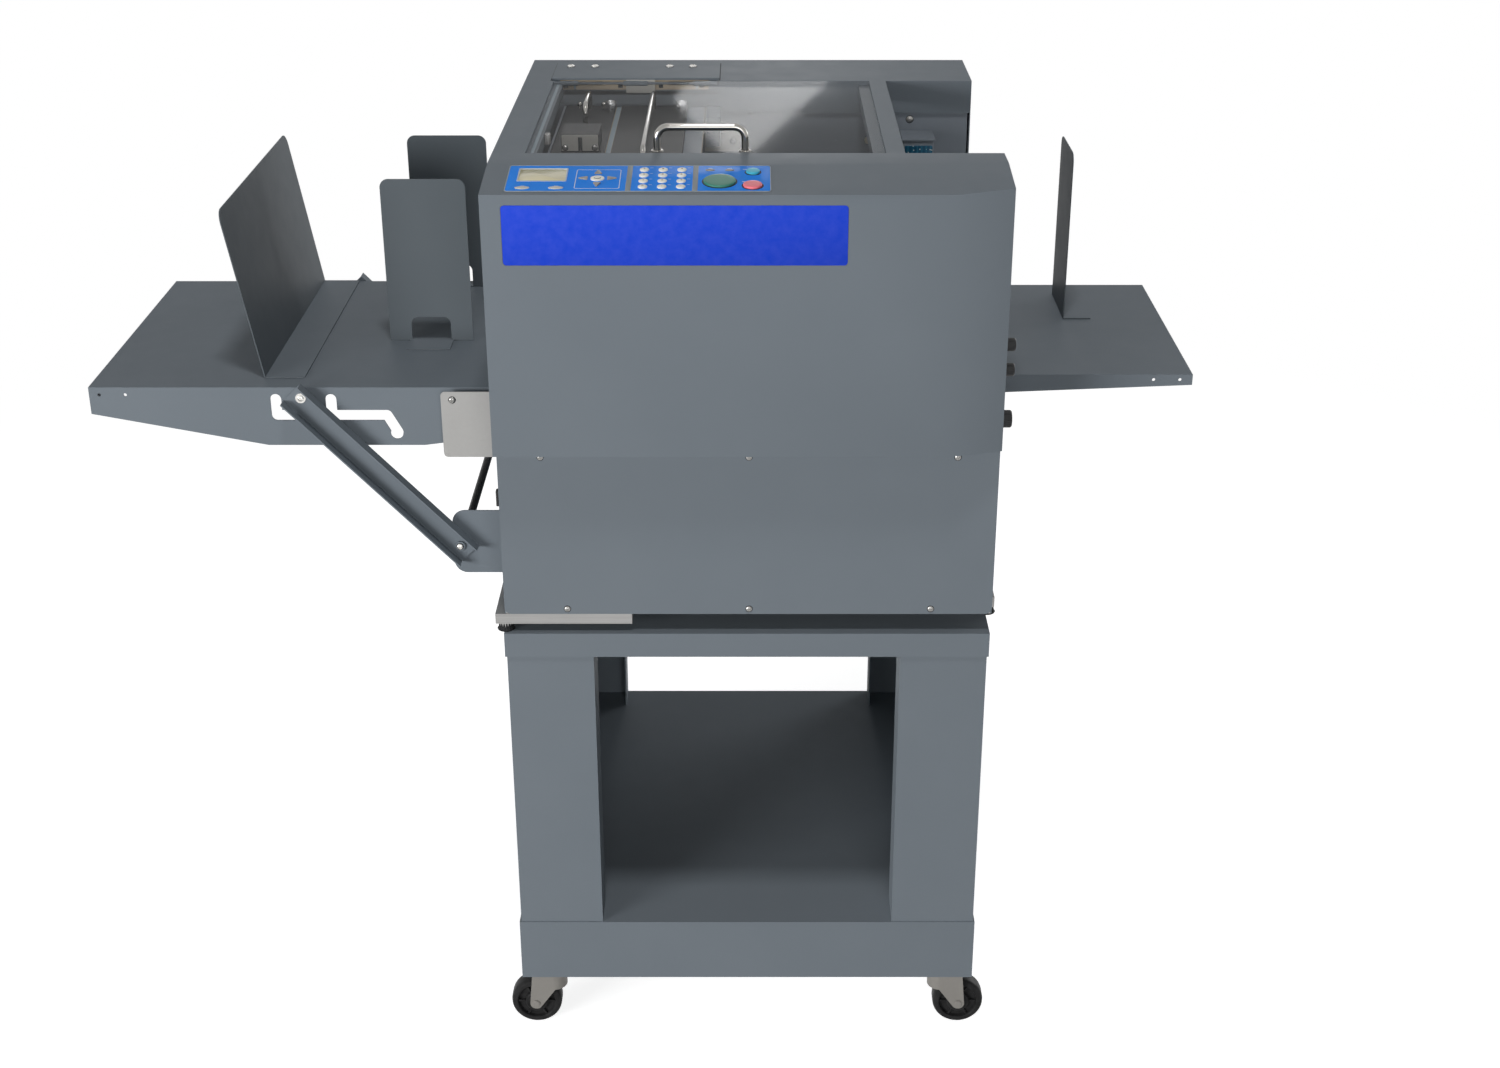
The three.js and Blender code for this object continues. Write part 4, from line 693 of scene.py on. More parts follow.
def bent_rod(name, places, radius, bend, body, replaces):
    """A round chrome rod through the places, with a round bend at each inner one."""
    sides, steps = 28, 10
    line = [places[0]]
    for before, at, after in zip(places, places[1:], places[2:]):
        one, two = (before - at).normalized(), (after - at).normalized()
        half = one.angle(two) / 2
        reach = bend / math.tan(half)
        middle = at + (one + two).normalized() * (bend / math.sin(half))
        start, end = at + one * reach - middle, at + two * reach - middle
        for i in range(steps + 1):
            line.append(middle + start.slerp(end, i / steps).normalized() * bend)
    line.append(places[-1])
    bm = bmesh.new()
    side = (places[1] - places[0]).cross(places[2] - places[1]).normalized()
    rings = []
    for i, at in enumerate(line):
        along = (line[min(i + 1, len(line) - 1)] - line[max(i - 1, 0)]).normalized()
        other = along.cross(side).normalized()
        rings.append([bm.verts.new(at + (side * math.cos(a) + other * math.sin(a)) * radius)
                      for a in (2 * math.pi * k / sides for k in range(sides))])
    joined(bm, rings)
    return built(name, bm, "chrome", body, replaces=replaces, sharp=50)


def grab_handle(node, along, bend, body="machine"):
    """Bends a handle in the place of its node, whose long side is X (0) or Y (1). Returns its feet."""
    low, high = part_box(node)
    rod = (high[1 - along] - low[1 - along]) / 2
    places = []
    for end in (low[along] + rod, high[along] - rod):
        for height in (low.z, high.z - rod):
            place = (low + high) / 2
            place[along], place.z = end, height
            places.append(place)
    foot, corner, other_foot, other_corner = places
    bent_rod(f"{node}_rod", [foot, corner, other_corner, other_foot], rod, bend, body, [node])
    return foot, other_foot, rod


# Geometry Nodes for what repeats


class Tree:
    """A geometry tree with named inputs."""

    def __init__(self, name):
        self.tree = bpy.data.node_groups.new(name, "GeometryNodeTree")
        self.tree.interface.new_socket("Geometry", in_out="INPUT", socket_type="NodeSocketGeometry")
        self.tree.interface.new_socket("Geometry", in_out="OUTPUT", socket_type="NodeSocketGeometry")
        self.start = self.tree.nodes.new("NodeGroupInput")
        self.end = self.tree.nodes.new("NodeGroupOutput")

    def size(self, name, kind, default):
        """A named input. Kind is Float, Int, Vector or Material."""
        socket = self.tree.interface.new_socket(name, in_out="INPUT", socket_type=f"NodeSocket{kind}")
        if default is not None:
            socket.default_value = default
        return self.start.outputs[name]

    def node(self, kind, settings=None, values=None, output=0):
        """Adds a node. A list of values goes to one socket."""
        node = self.tree.nodes.new(kind)
        for key, value in (settings or {}).items():
            setattr(node, key, value)
        for key, value in (values or {}).items():
            for one in value if isinstance(value, list) else [value]:
                if isinstance(one, bpy.types.NodeSocket):
                    self.tree.links.new(one, node.inputs[key])
                else:
                    node.inputs[key].default_value = one
        return node.outputs[output]

    def math(self, operation, *values):
        """One Math node."""
        return self.node("ShaderNodeMath", {"operation": operation}, dict(enumerate(values)))

    def finish_with(self, instances, material):
        """Makes the instances real, paints them and ends the tree."""
        real = self.node("GeometryNodeRealizeInstances", values={"Geometry": instances})
        painted = self.node("GeometryNodeSetMaterial", values={"Geometry": real, "Material": material})
        self.tree.links.new(painted, self.end.inputs["Geometry"])
        return self.tree


# A screw's dome, sockets and recess, as shares of its head's radius or height
DOME, HEX_SOCKET, CROSS_LONG, CROSS_WIDE = 1.55, 0.52, 1.15, 0.26
RECESS_LIFT, WASHER_HEIGHT = 1.45, 0.32
SCREW_SEED, HALF_TURN = 7, 3.1416


@functools.cache
def screw_tree():
    """Screws on the points of a mesh, each facing along the point's own direction."""
    t = Tree("Screws")
    radius = t.size("Head radius", "Float", 0.003)
    height = t.size("Head height", "Float", 0.002)
    washer = t.size("Washer radius", "Float", 0.0)
    socket = t.size("Hexagon socket", "Bool", False)
    seed = t.size("Seed", "Int", SCREW_SEED)
    paint = t.size("Finish", "Material", None)
    deep = t.math("MULTIPLY", height, 2.0)
    body = t.node("GeometryNodeMeshCylinder", values={"Vertices": 24, "Radius": radius, "Depth": deep})
    dome_radius = t.math("MULTIPLY", radius, DOME)
    dome = t.node("GeometryNodeMeshUVSphere", values={"Segments": 36, "Rings": 24, "Radius": dome_radius})
    drop = t.node("ShaderNodeCombineXYZ", values={"Z": t.math("SUBTRACT", height, dome_radius)})
    dome = t.node("GeometryNodeTransform", values={"Geometry": dome, "Translation": drop})
    head = t.node("GeometryNodeMeshBoolean", {"operation": "INTERSECT", "solver": "EXACT"},
                  {"Mesh 2": [body, dome]})
    hexagon = t.node("GeometryNodeMeshCylinder", values={
        "Vertices": 6, "Radius": t.math("MULTIPLY", radius, HEX_SOCKET), "Depth": deep})
    long, wide = t.math("MULTIPLY", radius, CROSS_LONG), t.math("MULTIPLY", radius, CROSS_WIDE)
    bars = [t.node("GeometryNodeMeshCube", values={
        "Size": t.node("ShaderNodeCombineXYZ", values={"X": x, "Y": y, "Z": deep})})
            for x, y in ((long, wide), (wide, long))]
    cross = t.node("GeometryNodeMeshBoolean", {"operation": "UNION", "solver": "EXACT"}, {"Mesh 2": bars})
    recess = t.node("GeometryNodeSwitch", {"input_type": "GEOMETRY"}, {
        "Switch": socket, "False": cross, "True": hexagon})
    lift = t.node("ShaderNodeCombineXYZ", values={"Z": t.math("MULTIPLY", height, RECESS_LIFT)})
    recess = t.node("GeometryNodeTransform", values={"Geometry": recess, "Translation": lift})
    cut = t.node("GeometryNodeMeshBoolean", {"operation": "DIFFERENCE", "solver": "EXACT"},
                 {"Mesh 1": head, "Mesh 2": recess})
    ring_height = t.math("MULTIPLY", height, WASHER_HEIGHT)
    disc = t.node("GeometryNodeMeshCylinder", values={
        "Vertices": 32, "Radius": t.math("MAXIMUM", washer, 0.0001), "Depth": ring_height})
    disc = t.node("GeometryNodeTransform", values={
        "Geometry": disc, "Translation": t.node("ShaderNodeCombineXYZ", values={
            "Z": t.math("MULTIPLY", ring_height, 0.5)})})
    with_disc = t.node("GeometryNodeJoinGeometry", values={"Geometry": [cut, disc]})
    whole = t.node("GeometryNodeSwitch", {"input_type": "GEOMETRY"}, {
        "Switch": t.node("FunctionNodeCompare", {"data_type": "FLOAT", "operation": "GREATER_THAN"}, {
            0: washer, 1: 0.0002}), "False": cut, "True": with_disc})
    facing = t.node("GeometryNodeInputNamedAttribute", {"data_type": "FLOAT_VECTOR"}, {"Name": "facing"})
    outward = t.node("FunctionNodeAlignRotationToVector", {"axis": "Z"}, {"Vector": facing})
    chance = t.tree.nodes.new("FunctionNodeRandomValue")
    chance.data_type = "FLOAT"
    chance.inputs[3].default_value = HALF_TURN
    t.tree.links.new(seed, chance.inputs["Seed"])
    spin = t.node("FunctionNodeAxisAngleToRotation", values={"Axis": (0, 0, 1), "Angle": chance.outputs[1]})
    turned = t.node("FunctionNodeRotateRotation", {"rotation_space": "LOCAL"}, {
        "Rotation": outward, "Rotate By": spin})
    placed = t.node("GeometryNodeInstanceOnPoints", values={
        "Points": t.start.outputs["Geometry"], "Instance": whole, "Rotation": turned})
    return t.finish_with(placed, paint)


KEY_DOME = 1.12


def key_tree():
    """Raised oval keys on the points of a mesh that lies in XY."""
    t = Tree("Keys")
    half = t.size("Half width", "Float", 0.005)
    deep = t.size("Half depth", "Float", 0.005)
    rise = t.size("Rise", "Float", 0.001)
    paint = t.size("Finish", "Material", None)
    body = t.node("GeometryNodeMeshCylinder", values={
        "Vertices": 40, "Radius": 1.0, "Depth": t.math("MULTIPLY", rise, 2.0)})
    scale = t.node("ShaderNodeCombineXYZ", values={"X": half, "Y": deep, "Z": 1.0})
    body = t.node("GeometryNodeTransform", values={"Geometry": body, "Scale": scale})
    dome = t.node("GeometryNodeMeshUVSphere", values={"Segments": 40, "Rings": 20, "Radius": 1.0})
    dome_scale = t.node("ShaderNodeCombineXYZ", values={
        "X": t.math("MULTIPLY", half, KEY_DOME), "Y": t.math("MULTIPLY", deep, KEY_DOME), "Z": rise})
    dome = t.node("GeometryNodeTransform", values={"Geometry": dome, "Scale": dome_scale})
    cap = t.node("GeometryNodeMeshBoolean", {"operation": "INTERSECT", "solver": "EXACT"},
                 {"Mesh 2": [body, dome]})
    placed = t.node("GeometryNodeInstanceOnPoints", values={
        "Points": t.start.outputs["Geometry"], "Instance": cap})
    return t.finish_with(placed, paint)


def grown(name, tree, points, values, frame_at=None, facings=None):
    """The plain mesh that a tree makes on some points, moved to its frame."""
    mesh = bpy.data.meshes.new(f"{name}_points")
    mesh.from_pydata([tuple(p) for p in points], [], [])
    if facings:
        facing = mesh.attributes.new("facing", "FLOAT_VECTOR", "POINT")
        for spot, value in zip(facing.data, facings):
            spot.vector = value
    obj = added(f"{name}_points", mesh)
    modifier = obj.modifiers.new("Grow", "NODES")
    modifier.node_group = tree
    for item in tree.interface.items_tree:
        if item.item_type == "SOCKET" and item.in_out == "INPUT" and item.name in values:
            modifier[item.identifier] = values[item.name]
    made = settled(obj)
    if frame_at is not None:
        made.transform(frame_at)
    if not made.polygons:
        raise RuntimeError(f"{name} came out empty")
    return shaded(made)


def screws(name, places, facings, radius, height, finish="screw", body="machine", washer=0.0, hexagon=False):
    """A group of like screws on one body, with a painted contact shadow: a thin dark disc round each head."""
    if isinstance(facings, tuple):
        facings = [facings] * len(places)
    # Painted shade: a dark disc under each head stands in for the contact shadow round it.
    contact_shades = bmesh.new()
    for place, facing in zip(places, facings):
        turn(contact_shades, standing(place, facing), [
            (0, 0.0), (radius + 0.7 * MM, 0.0), (radius + 0.5 * MM, 0.12 * MM), (0, 0.12 * MM)], 32)
    built(f"{name}_seats", contact_shades, "hole", body)
    mesh = grown(name, screw_tree(), places, {
        "Head radius": radius, "Head height": height, "Washer radius": washer,
        "Hexagon socket": hexagon, "Seed": SCREW_SEED, "Finish": paints()[finish]}, facings=facings)
    new_piece(name, mesh, finish, body)


# The camera, the floor and the light


CAMERA_AT, CAMERA_PITCH, CAMERA_LENS = (0.1215, -2.406, 1.6613), 65.663, 50
# Each lamp: its place, what it looks at, its width, height and power
LAMPS = (
    ("Key lamp", (-4.0, -4.15, 1.15), (0.1, 0, 0.75), 2.6, 1.612, 265),
    ("Fill lamp", (0.6, -4.2, 1.5), (0.1, 0, 0.75), 1.6, 1.6, 40),
    ("High lamp", (0.1, -1.4, 4.6), (0.1, 0, 0.9), 0.5, 0.5, 47),
    ("Rear lamp", (3.2, 2.8, 1.1), (0.1, 0, 0.75), 1.8, 1.8, 60),
)
# The strips of light that mirror in the lid: their common edge, its direction, length, widths and radiance
BAND_EDGE, BAND_ALONG = (0.225, 3.0, 1.803), (-0.735, 0, 0.678)
BAND_LENGTH, BAND_WIDTHS, BAND_RADIANCE = 0.38, (0.06, 0.12, 0.18, 0.245), 5.6
FLOOR_SIDE, FLOOR_CORNER, FLOOR_THICK = 14.0, 3.0, 0.02
FADE_FROM, FADE_TO = 0.9, 2.6


def lamp(name, width, height, power, frame_at):
    """A soft lamp that the camera doesn't see."""
    data = bpy.data.lights.new(name, "AREA")
    data.shape = "RECTANGLE"
    data.size, data.size_y, data.energy = width, height, power
    obj = added(name, data)
    obj.matrix_world = frame_at
    obj.visible_camera = False


class CREASER_OT_stage(bpy.types.Operator):
    """Adds the camera, the pale floor, the white surround and the soft lamps"""

    bl_idname = "creaser.stage"
    bl_label = "Stage"

    def execute(self, context):
        scene = context.scene
        scene.view_settings.view_transform = "Standard"
        lens = bpy.data.cameras.new("Camera")
        lens.lens, lens.sensor_width, lens.clip_end = CAMERA_LENS, 36, 50
        scene.camera = added("Camera", lens)
        scene.camera.location = CAMERA_AT
        scene.camera.rotation_euler = (math.radians(CAMERA_PITCH), 0, 0)
        self.surround(scene)
        self.floor()
        for name, place, target, width, height, power in LAMPS:
            aim = (Vector(target) - Vector(place)).to_track_quat("-Z", "Y")
            lamp(name, width, height, power, Matrix.Translation(place) @ aim.to_matrix().to_4x4())
        self.band()
        return {"FINISHED"}

    def band(self):
        """Slanted strips of light behind the machine, whose mirror image fades across the lid."""
        along = Vector(BAND_ALONG).normalized()
        across = along.cross(BACK)
        turned = Matrix((across, along, BACK)).transposed().to_4x4()
        for width in BAND_WIDTHS:
            lamp("Lid strip", width, BAND_LENGTH, BAND_RADIANCE * math.pi * width * BAND_LENGTH,
                 Matrix.Translation(Vector(BAND_EDGE) + across * (width / 2)) @ turned)

    def surround(self, scene):
        """A white world for the camera, and a dim one for the light on the machine."""
        scene.world = bpy.data.worlds.new("Surround")
        scene.world.use_nodes = True
        sky = Shader(scene.world.node_tree)
        dim = sky.node("ShaderNodeBackground", values={"Color": (0.92, 0.96, 1.0), "Strength": 0.06})
        white = sky.node("ShaderNodeBackground", values={"Color": (1, 1, 1), "Strength": 1.0})
        sky.end(sky.node("ShaderNodeMixShader", values={0: sky.looked_at(), 1: dim, 2: white}),
                "ShaderNodeOutputWorld")

    def floor(self):
        """A pale floor that keeps the shadow and fades to white away from the machine."""
        bm = bmesh.new()
        outline = round_corners(FLOOR_SIDE, FLOOR_SIDE, FLOOR_CORNER, 12)
        slab(bm, Matrix.Identity(4), outline, -FLOOR_THICK, 0.0)
        mesh = to_mesh(bm, "Floor")
        finish = Finish("Floor paper")
        looked_at = finish.looked_at()
        pale = finish.shades(finish.noise(3.0, 3.0), (0.84, 0.84, 0.84), (0.88, 0.88, 0.88))
        paper = finish.node("ShaderNodeBsdfPrincipled", values={
            "Base Color": finish.shades(looked_at, (0.30, 0.30, 0.30), pale), "Roughness": 0.9,
            "Specular IOR Level": 0.0, "Normal": finish.bump(finish.noise(200.0), 0.05, 0.1)})
        from_middle = finish.node("ShaderNodeVectorMath", {"operation": "LENGTH"}, {0: finish.place}, "Value")
        far = finish.node("ShaderNodeMapRange", {"interpolation_type": "SMOOTHSTEP"}, {
            "Value": from_middle, "From Min": FADE_FROM, "From Max": FADE_TO, "To Min": 0.0, "To Max": 1.0})
        lift = finish.node("ShaderNodeEmission", values={"Color": (1, 1, 1), "Strength": looked_at * 0.8})
        near = finish.node("ShaderNodeAddShader", values={0: paper, 1: lift})
        white = finish.node("ShaderNodeEmission", values={
            "Color": (1, 1, 1), "Strength": finish.spread(looked_at, 0.1, 1.0)})
        finish.end(finish.node("ShaderNodeMixShader", values={0: far, 1: near, 2: white}))
        mesh.materials.append(finish.material)
        added("Floor", mesh)


# The cart


FOOT_PLACES = (("left_foot_rail", -0.158), ("right_foot_rail", 0.397))
FOOT_INSET = 8.5 * MM
FOOT_FLUTES = 16


class CREASER_OT_cart(bpy.types.Operator):
    """Dresses the cart's base and frame, the foot rails and their rubber feet"""

    bl_idname = "creaser.cart"
    bl_label = "Cart and feet"

    def execute(self, context):
        soften("cart_base", "body", 0.0018)
        soften("cart_frame", "body", 0.0018)
        bm = bmesh.new()
        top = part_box("cart_frame")[1].z
        flutes = fluted(FOOT_FLUTES, 0.07, 2)
        for rail, x in FOOT_PLACES:
            soften(rail, "rail", 0.0008)
            low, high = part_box(rail)
            for y in (low.y + FOOT_INSET, high.y - FOOT_INSET):
                turn(bm, standing((x, y, top), UP), [
                    (0, 0.0), (0.0098, 0.0), (0.0102, 0.0010), (0.0088, 0.0030), (0.0076, 0.0130),
                    (0.0070, 0.0138), (0, 0.0138)], FOOT_FLUTES * 6, {3: flutes, 4: flutes})
        built("rubber_feet", bm, "foot")
        return {"FINISHED"}


FORK_HALF = 16.5 * MM
FORK_SHEET = 2.5 * MM
FORK_END = 7.8 * MM
FORK_LEAD = 2.2 * MM
FORK_SKIRT = 46 * MM
FORK_TURN = math.radians(-38)


class CREASER_OT_casters(bpy.types.Operator):
    """Builds the four swivel casters: pressed forks, ball races, axles and black wheels"""

    bl_idname = "creaser.casters"
    bl_label = "Casters"
WHEEL_BORE, WHEEL_RECESS, WHEEL_SPOKES = 4.6 * MM, 4.5 * MM, 6


class CREASER_OT_casters(bpy.types.Operator):
    """Builds the four swivel casters: pressed forks, ball races, axles and black wheels"""

    bl_idname = "creaser.casters"
    bl_label = "Casters"

    def execute(self, context):
        for corner in ("front_left", "front_right", "rear_left", "rear_right"):
            low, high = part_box(f"caster_wheel_{corner}")
            centre, size = (low + high) / 2, high - low
            self.wheel(corner, centre, size.z / 2, size.y / 2)
            self.fork(corner, centre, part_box(f"caster_fork_{corner}"), -1 if corner.endswith("left") else 1)
        return {"FINISHED"}

    def wheel(self, corner, centre, radius, half):
        """A wheel with a round-shouldered tread, a ribbed web and a bearing boss."""
        bm = bmesh.new()
        tread = half - 0.001
        sunk = tread - WHEEL_RECESS
        face = [(0.0140, sunk), (0.0225, sunk), (0.0238, tread - 0.0006), (0.0246, tread),
                (radius - 0.0042, tread), (radius - 0.0018, tread - 0.0010),
                (radius - 0.0004, tread - 0.0032), (radius, tread - 0.0058)]
        boss = [(WHEEL_BORE, half), (0.0125, half), (0.0140, half - 0.0012)]
        rear = boss + face
        front = [(r, -h) for r, h in rear]
        turn(bm, standing(centre, BACK), front + rear[::-1] + front[:1], 72)
        bm.normal_update()
        for face in bm.faces:
            face.material_index = 1 if abs(face.normal.y) > 0.6 else 0
        for k in range(WHEEL_SPOKES):
            turned = Matrix.Translation(centre) @ Matrix.Rotation(k * 2 * math.pi / WHEEL_SPOKES, 4, "Y")
            for side in (-1, 1):
                slab(bm, turned @ on_wall((0.0185, side * (tread - 0.0036), 0), -90 * side),
                     round_corners(0.0092, 0.0022, 0.0009, 3), -0.0012, 0.0020, 0.0004, 1)
        built(f"wheel_{corner}_turned", bm, ("tyre", "hub"), f"wheel_{corner}",
              [f"caster_wheel_{corner}"], 32)

    def fork(self, corner, centre, box, trail):
        """A fork folded from one sheet under a ball race, with its axle bolt and nut."""
        low, high = box
        head = (high.y - low.y) / 2
        swivel = Vector((high.x - head if trail < 0 else low.x + head, centre.y, 0))
        top = high.z
        at = Matrix.Translation(swivel) @ Matrix.Diagonal((-trail, 1, 1, 1))
        bm = bmesh.new()
        turn(bm, at, [
            (0, top), (head - 0.0040, top), (head - 0.0032, top - 0.0012), (head - 0.0008, top - 0.0014),
            (head, top - 0.0024), (head, top - 0.0036), (head - 0.0014, top - 0.0042),
            (head - 0.0014, top - 0.0050), (head, top - 0.0056), (head - 0.0004, top - 0.0076),
            (head - 0.0024, top - 0.0090), (0.0090, top - 0.0096), (0.0074, top - 0.0125),
            (0, top - 0.0130)], 64)
        self.folded_sheet(bm, at, abs(centre.x - swivel.x), centre.z, top)
        for side in (-1, 1):
            end = centre + Vector((0, side * FORK_HALF, 0))
            turn(bm, standing(end, (0, side, 0), 0.4), [
                (0, -0.003), (0.0050, -0.003), (0.0050, 0.0004), (0.0048, 0.0007), (0.0042, 0.0008),
                (0.0042, 0.0012), (0.0038, 0.0015), (0, 0.0015)], 6 if side > 0 else 36)
        turn(bm, standing(centre - Vector((0, FORK_HALF, 0)), BACK), [
            (0, 0.0), (0.0040, 0.0), (0.0040, 2 * FORK_HALF), (0, 2 * FORK_HALF)], 28)
        built(f"fork_{corner}_pressed", bm, "pressed", f"fork_{corner}", [f"caster_fork_{corner}"], 32)

    def folded_sheet(self, bm, at, reach, axle, top):
        """The fork's sheet, from one cheek round the swivel to the other; its axle lies towards -X."""
        crown, skirt = top - 0.0055, top - FORK_SKIRT
        tip = -reach - FORK_END
        turn_from = -reach + FORK_END * math.cos(FORK_TURN)
        turn_up = axle + FORK_END * math.sin(FORK_TURN)

        def ends(x):
            """The lower and the upper edge of the cheek at a place along it."""
            up = crown
            if x < -reach - FORK_LEAD:
                up = axle + (crown - axle) * (x - tip) / (FORK_END - FORK_LEAD)
            if x < turn_from:
                down = axle - math.sqrt(max(FORK_END ** 2 - (x + reach) ** 2, 0))
            else:
                down = turn_up + (skirt - turn_up) * min(1, (x - turn_from) / (0.002 - turn_from))
            return down, up

        along = [tip - tip * (i / 30) ** 1.5 for i in range(30)]
        round_to = [math.pi * (i / 24 - 0.5) for i in range(25)]
        rows = []
        for radius in (FORK_HALF, FORK_HALF - FORK_SHEET):
            plan = [(x, -radius) for x in along]
            plan += [(radius * math.cos(a), radius * math.sin(a)) for a in round_to]
            plan += [(x, radius) for x in reversed(along)]
            rows.append([[bm.verts.new(at @ Vector((x, y, z))) for z in ends(min(x, 0.002))]
                         for x, y in plan])
        outer, inner = rows
        rounds = [(out[0], out[1], into[1], into[0]) for out, into in zip(outer, inner)]
        for here, after in zip(rounds, rounds[1:]):
            for k in range(4):
                bm.faces.new((here[k], after[k], after[(k + 1) % 4], here[(k + 1) % 4]))
        bm.faces.new(rounds[0])
        bm.faces.new(rounds[-1])
        middle, start = FORK_HALF - FORK_SHEET / 2, -reach - FORK_LEAD
        roof = [(start, -middle), *((middle * math.cos(a), middle * math.sin(a)) for a in round_to),
                (start, middle)]
        slab(bm, at, roof, crown - FORK_SHEET, crown - 0.0001)


# The machine's shell


class CREASER_OT_shell(bpy.types.Operator):
    """Dresses the base pan, the covers, the housings, the lid's rail and the hinge plate"""

    bl_idname = "creaser.shell"
    bl_label = "Covers and housings"

    def execute(self, context):
        soften("base_pan", "plated", 0.0012)
        for node in ("lower_front_cover", "left_side_cover", "right_side_cover", "lid_rail"):
            soften(node, "body", 0.0012)
        soften("front_housing", "housing", context.scene.creaser_sizes.mould, 0.0005, segments=4)
        soften("rear_housing", "body", 0.0016)
        soften("lid_hinge_plate", "body", 0.0010)
        return {"FINISHED"}


class CREASER_OT_lid(bpy.types.Operator):
    """Finishes the smoked lid and bends its chrome handle, with a ferrule at each foot"""

    bl_idname = "creaser.lid"
    bl_label = "Lid"

    def execute(self, context):
        refinish("lid_panel", "lid")
        *feet, rod = grab_handle("lid_handle", 0, 0.0125, "lid")
        bm = bmesh.new()
        for foot in feet:
            turn(bm, standing(foot, UP), [
                (0, 0.0), (rod * 1.75, 0.0), (rod * 1.75, 0.0007), (rod * 1.55, 0.0013),
                (rod * 1.12, 0.0015), (rod * 1.12, 0.0030), (0, 0.0030)], 40)
        built("lid_handle_ferrules", bm, "chrome", "lid")
        return {"FINISHED"}


# The operating strip, whose places are across from its left end and up from its front edge, in millimetres


STRIP_WIDTH, STRIP_DEPTH, STRIP_UP, STRIP_IN, STRIP_DROP = 276.5, 71.0, 9.0, 25.0, 11.3
STRIP_SLOPE = math.atan2(STRIP_DROP, 87.0)
SCREEN = (36.8, 45.0, 50.5, 34.4)
CURSOR = (95.0, 34.7)
CURSOR_BOX = (95.5, 33.6, 47.0, 52.0)
DIVIDERS = ((128.0, 5.6), (197.4, 5.6))
NUMBER_PLACES = [[(143.1 + 19.8 * column, 11.9 + 15.5 * row) for row in range(4)] for column in range(3)]
NUMBER_MARKS = ("0147", ".258", "-369")
MENU_KEYS = ((18.3, 9.4), (53.3, 9.4))
SMALL_KEYS = ((212.5, 58.0), (233.1, 58.0))
KEY_LINES = ((250.0, 60.5, 6.0), (249.0, 26.5, 5.6))
# Each group of keys: the places, half the width, half the depth, the rise and the finish
PADS = {
    "number_keys": ([place for column in NUMBER_PLACES for place in column], 4.9, 5.3, 1.9, "keys"),
    "centre_key": ([CURSOR], 7.3, 7.3, 1.7, "keys"),
    "menu_keys": (MENU_KEYS, 7.8, 3.6, 1.4, "pads"),
    "small_keys": (SMALL_KEYS, 4.9, 2.7, 1.2, "arrows"),
}
ARROW = ((-3.4, 3.9), (-4.2, 3.4), (-4.2, -3.4), (-3.4, -3.9), (5.4, -0.7), (5.4, 0.7))
# Each round key: its place and its radius
ROUND_KEYS = {"start": ((222.8, 26.5), 17.0), "stop": ((257.3, 15.5), 10.0), "clear": ((257.6, 52.3), 7.3)}


def strip_frame():
    """The strip's own frame: X across, Y up the slope, Z out of it."""
    origin = Vector((LEFT_X + STRIP_IN * MM, FRONT_Y, TOP_Z - STRIP_DROP * MM))
    return Matrix.Translation(origin) @ Matrix.Rotation(STRIP_SLOPE, 4, "X") @ \
        Matrix.Translation((0, STRIP_UP * MM, 0))


def on_strip(across, up, height=0.0):
    return strip_frame() @ Matrix.Translation((across * MM, up * MM, height * MM))


def in_mm(points):
    return [(x * MM, y * MM) for x, y in points]


def strip_slab(bm, place, size, corner, bottom, top, break_edge=0.0, steps=6):
    """A flat piece on the strip, all in millimetres."""
    slab(bm, on_strip(*place), round_corners(size[0] * MM, size[1] * MM, corner * MM, steps),
         bottom * MM, top * MM, break_edge * MM)


def strip_band(bm, place, size, wide, corners, bottom, top):
    """A flat frame on the strip, all in millimetres."""
    outer, inner = (round_corners((size[0] - less) * MM, (size[1] - less) * MM, corner * MM)
                    for less, corner in zip((0, wide), corners))
    band(bm, on_strip(*place), outer, inner, bottom * MM, top * MM)


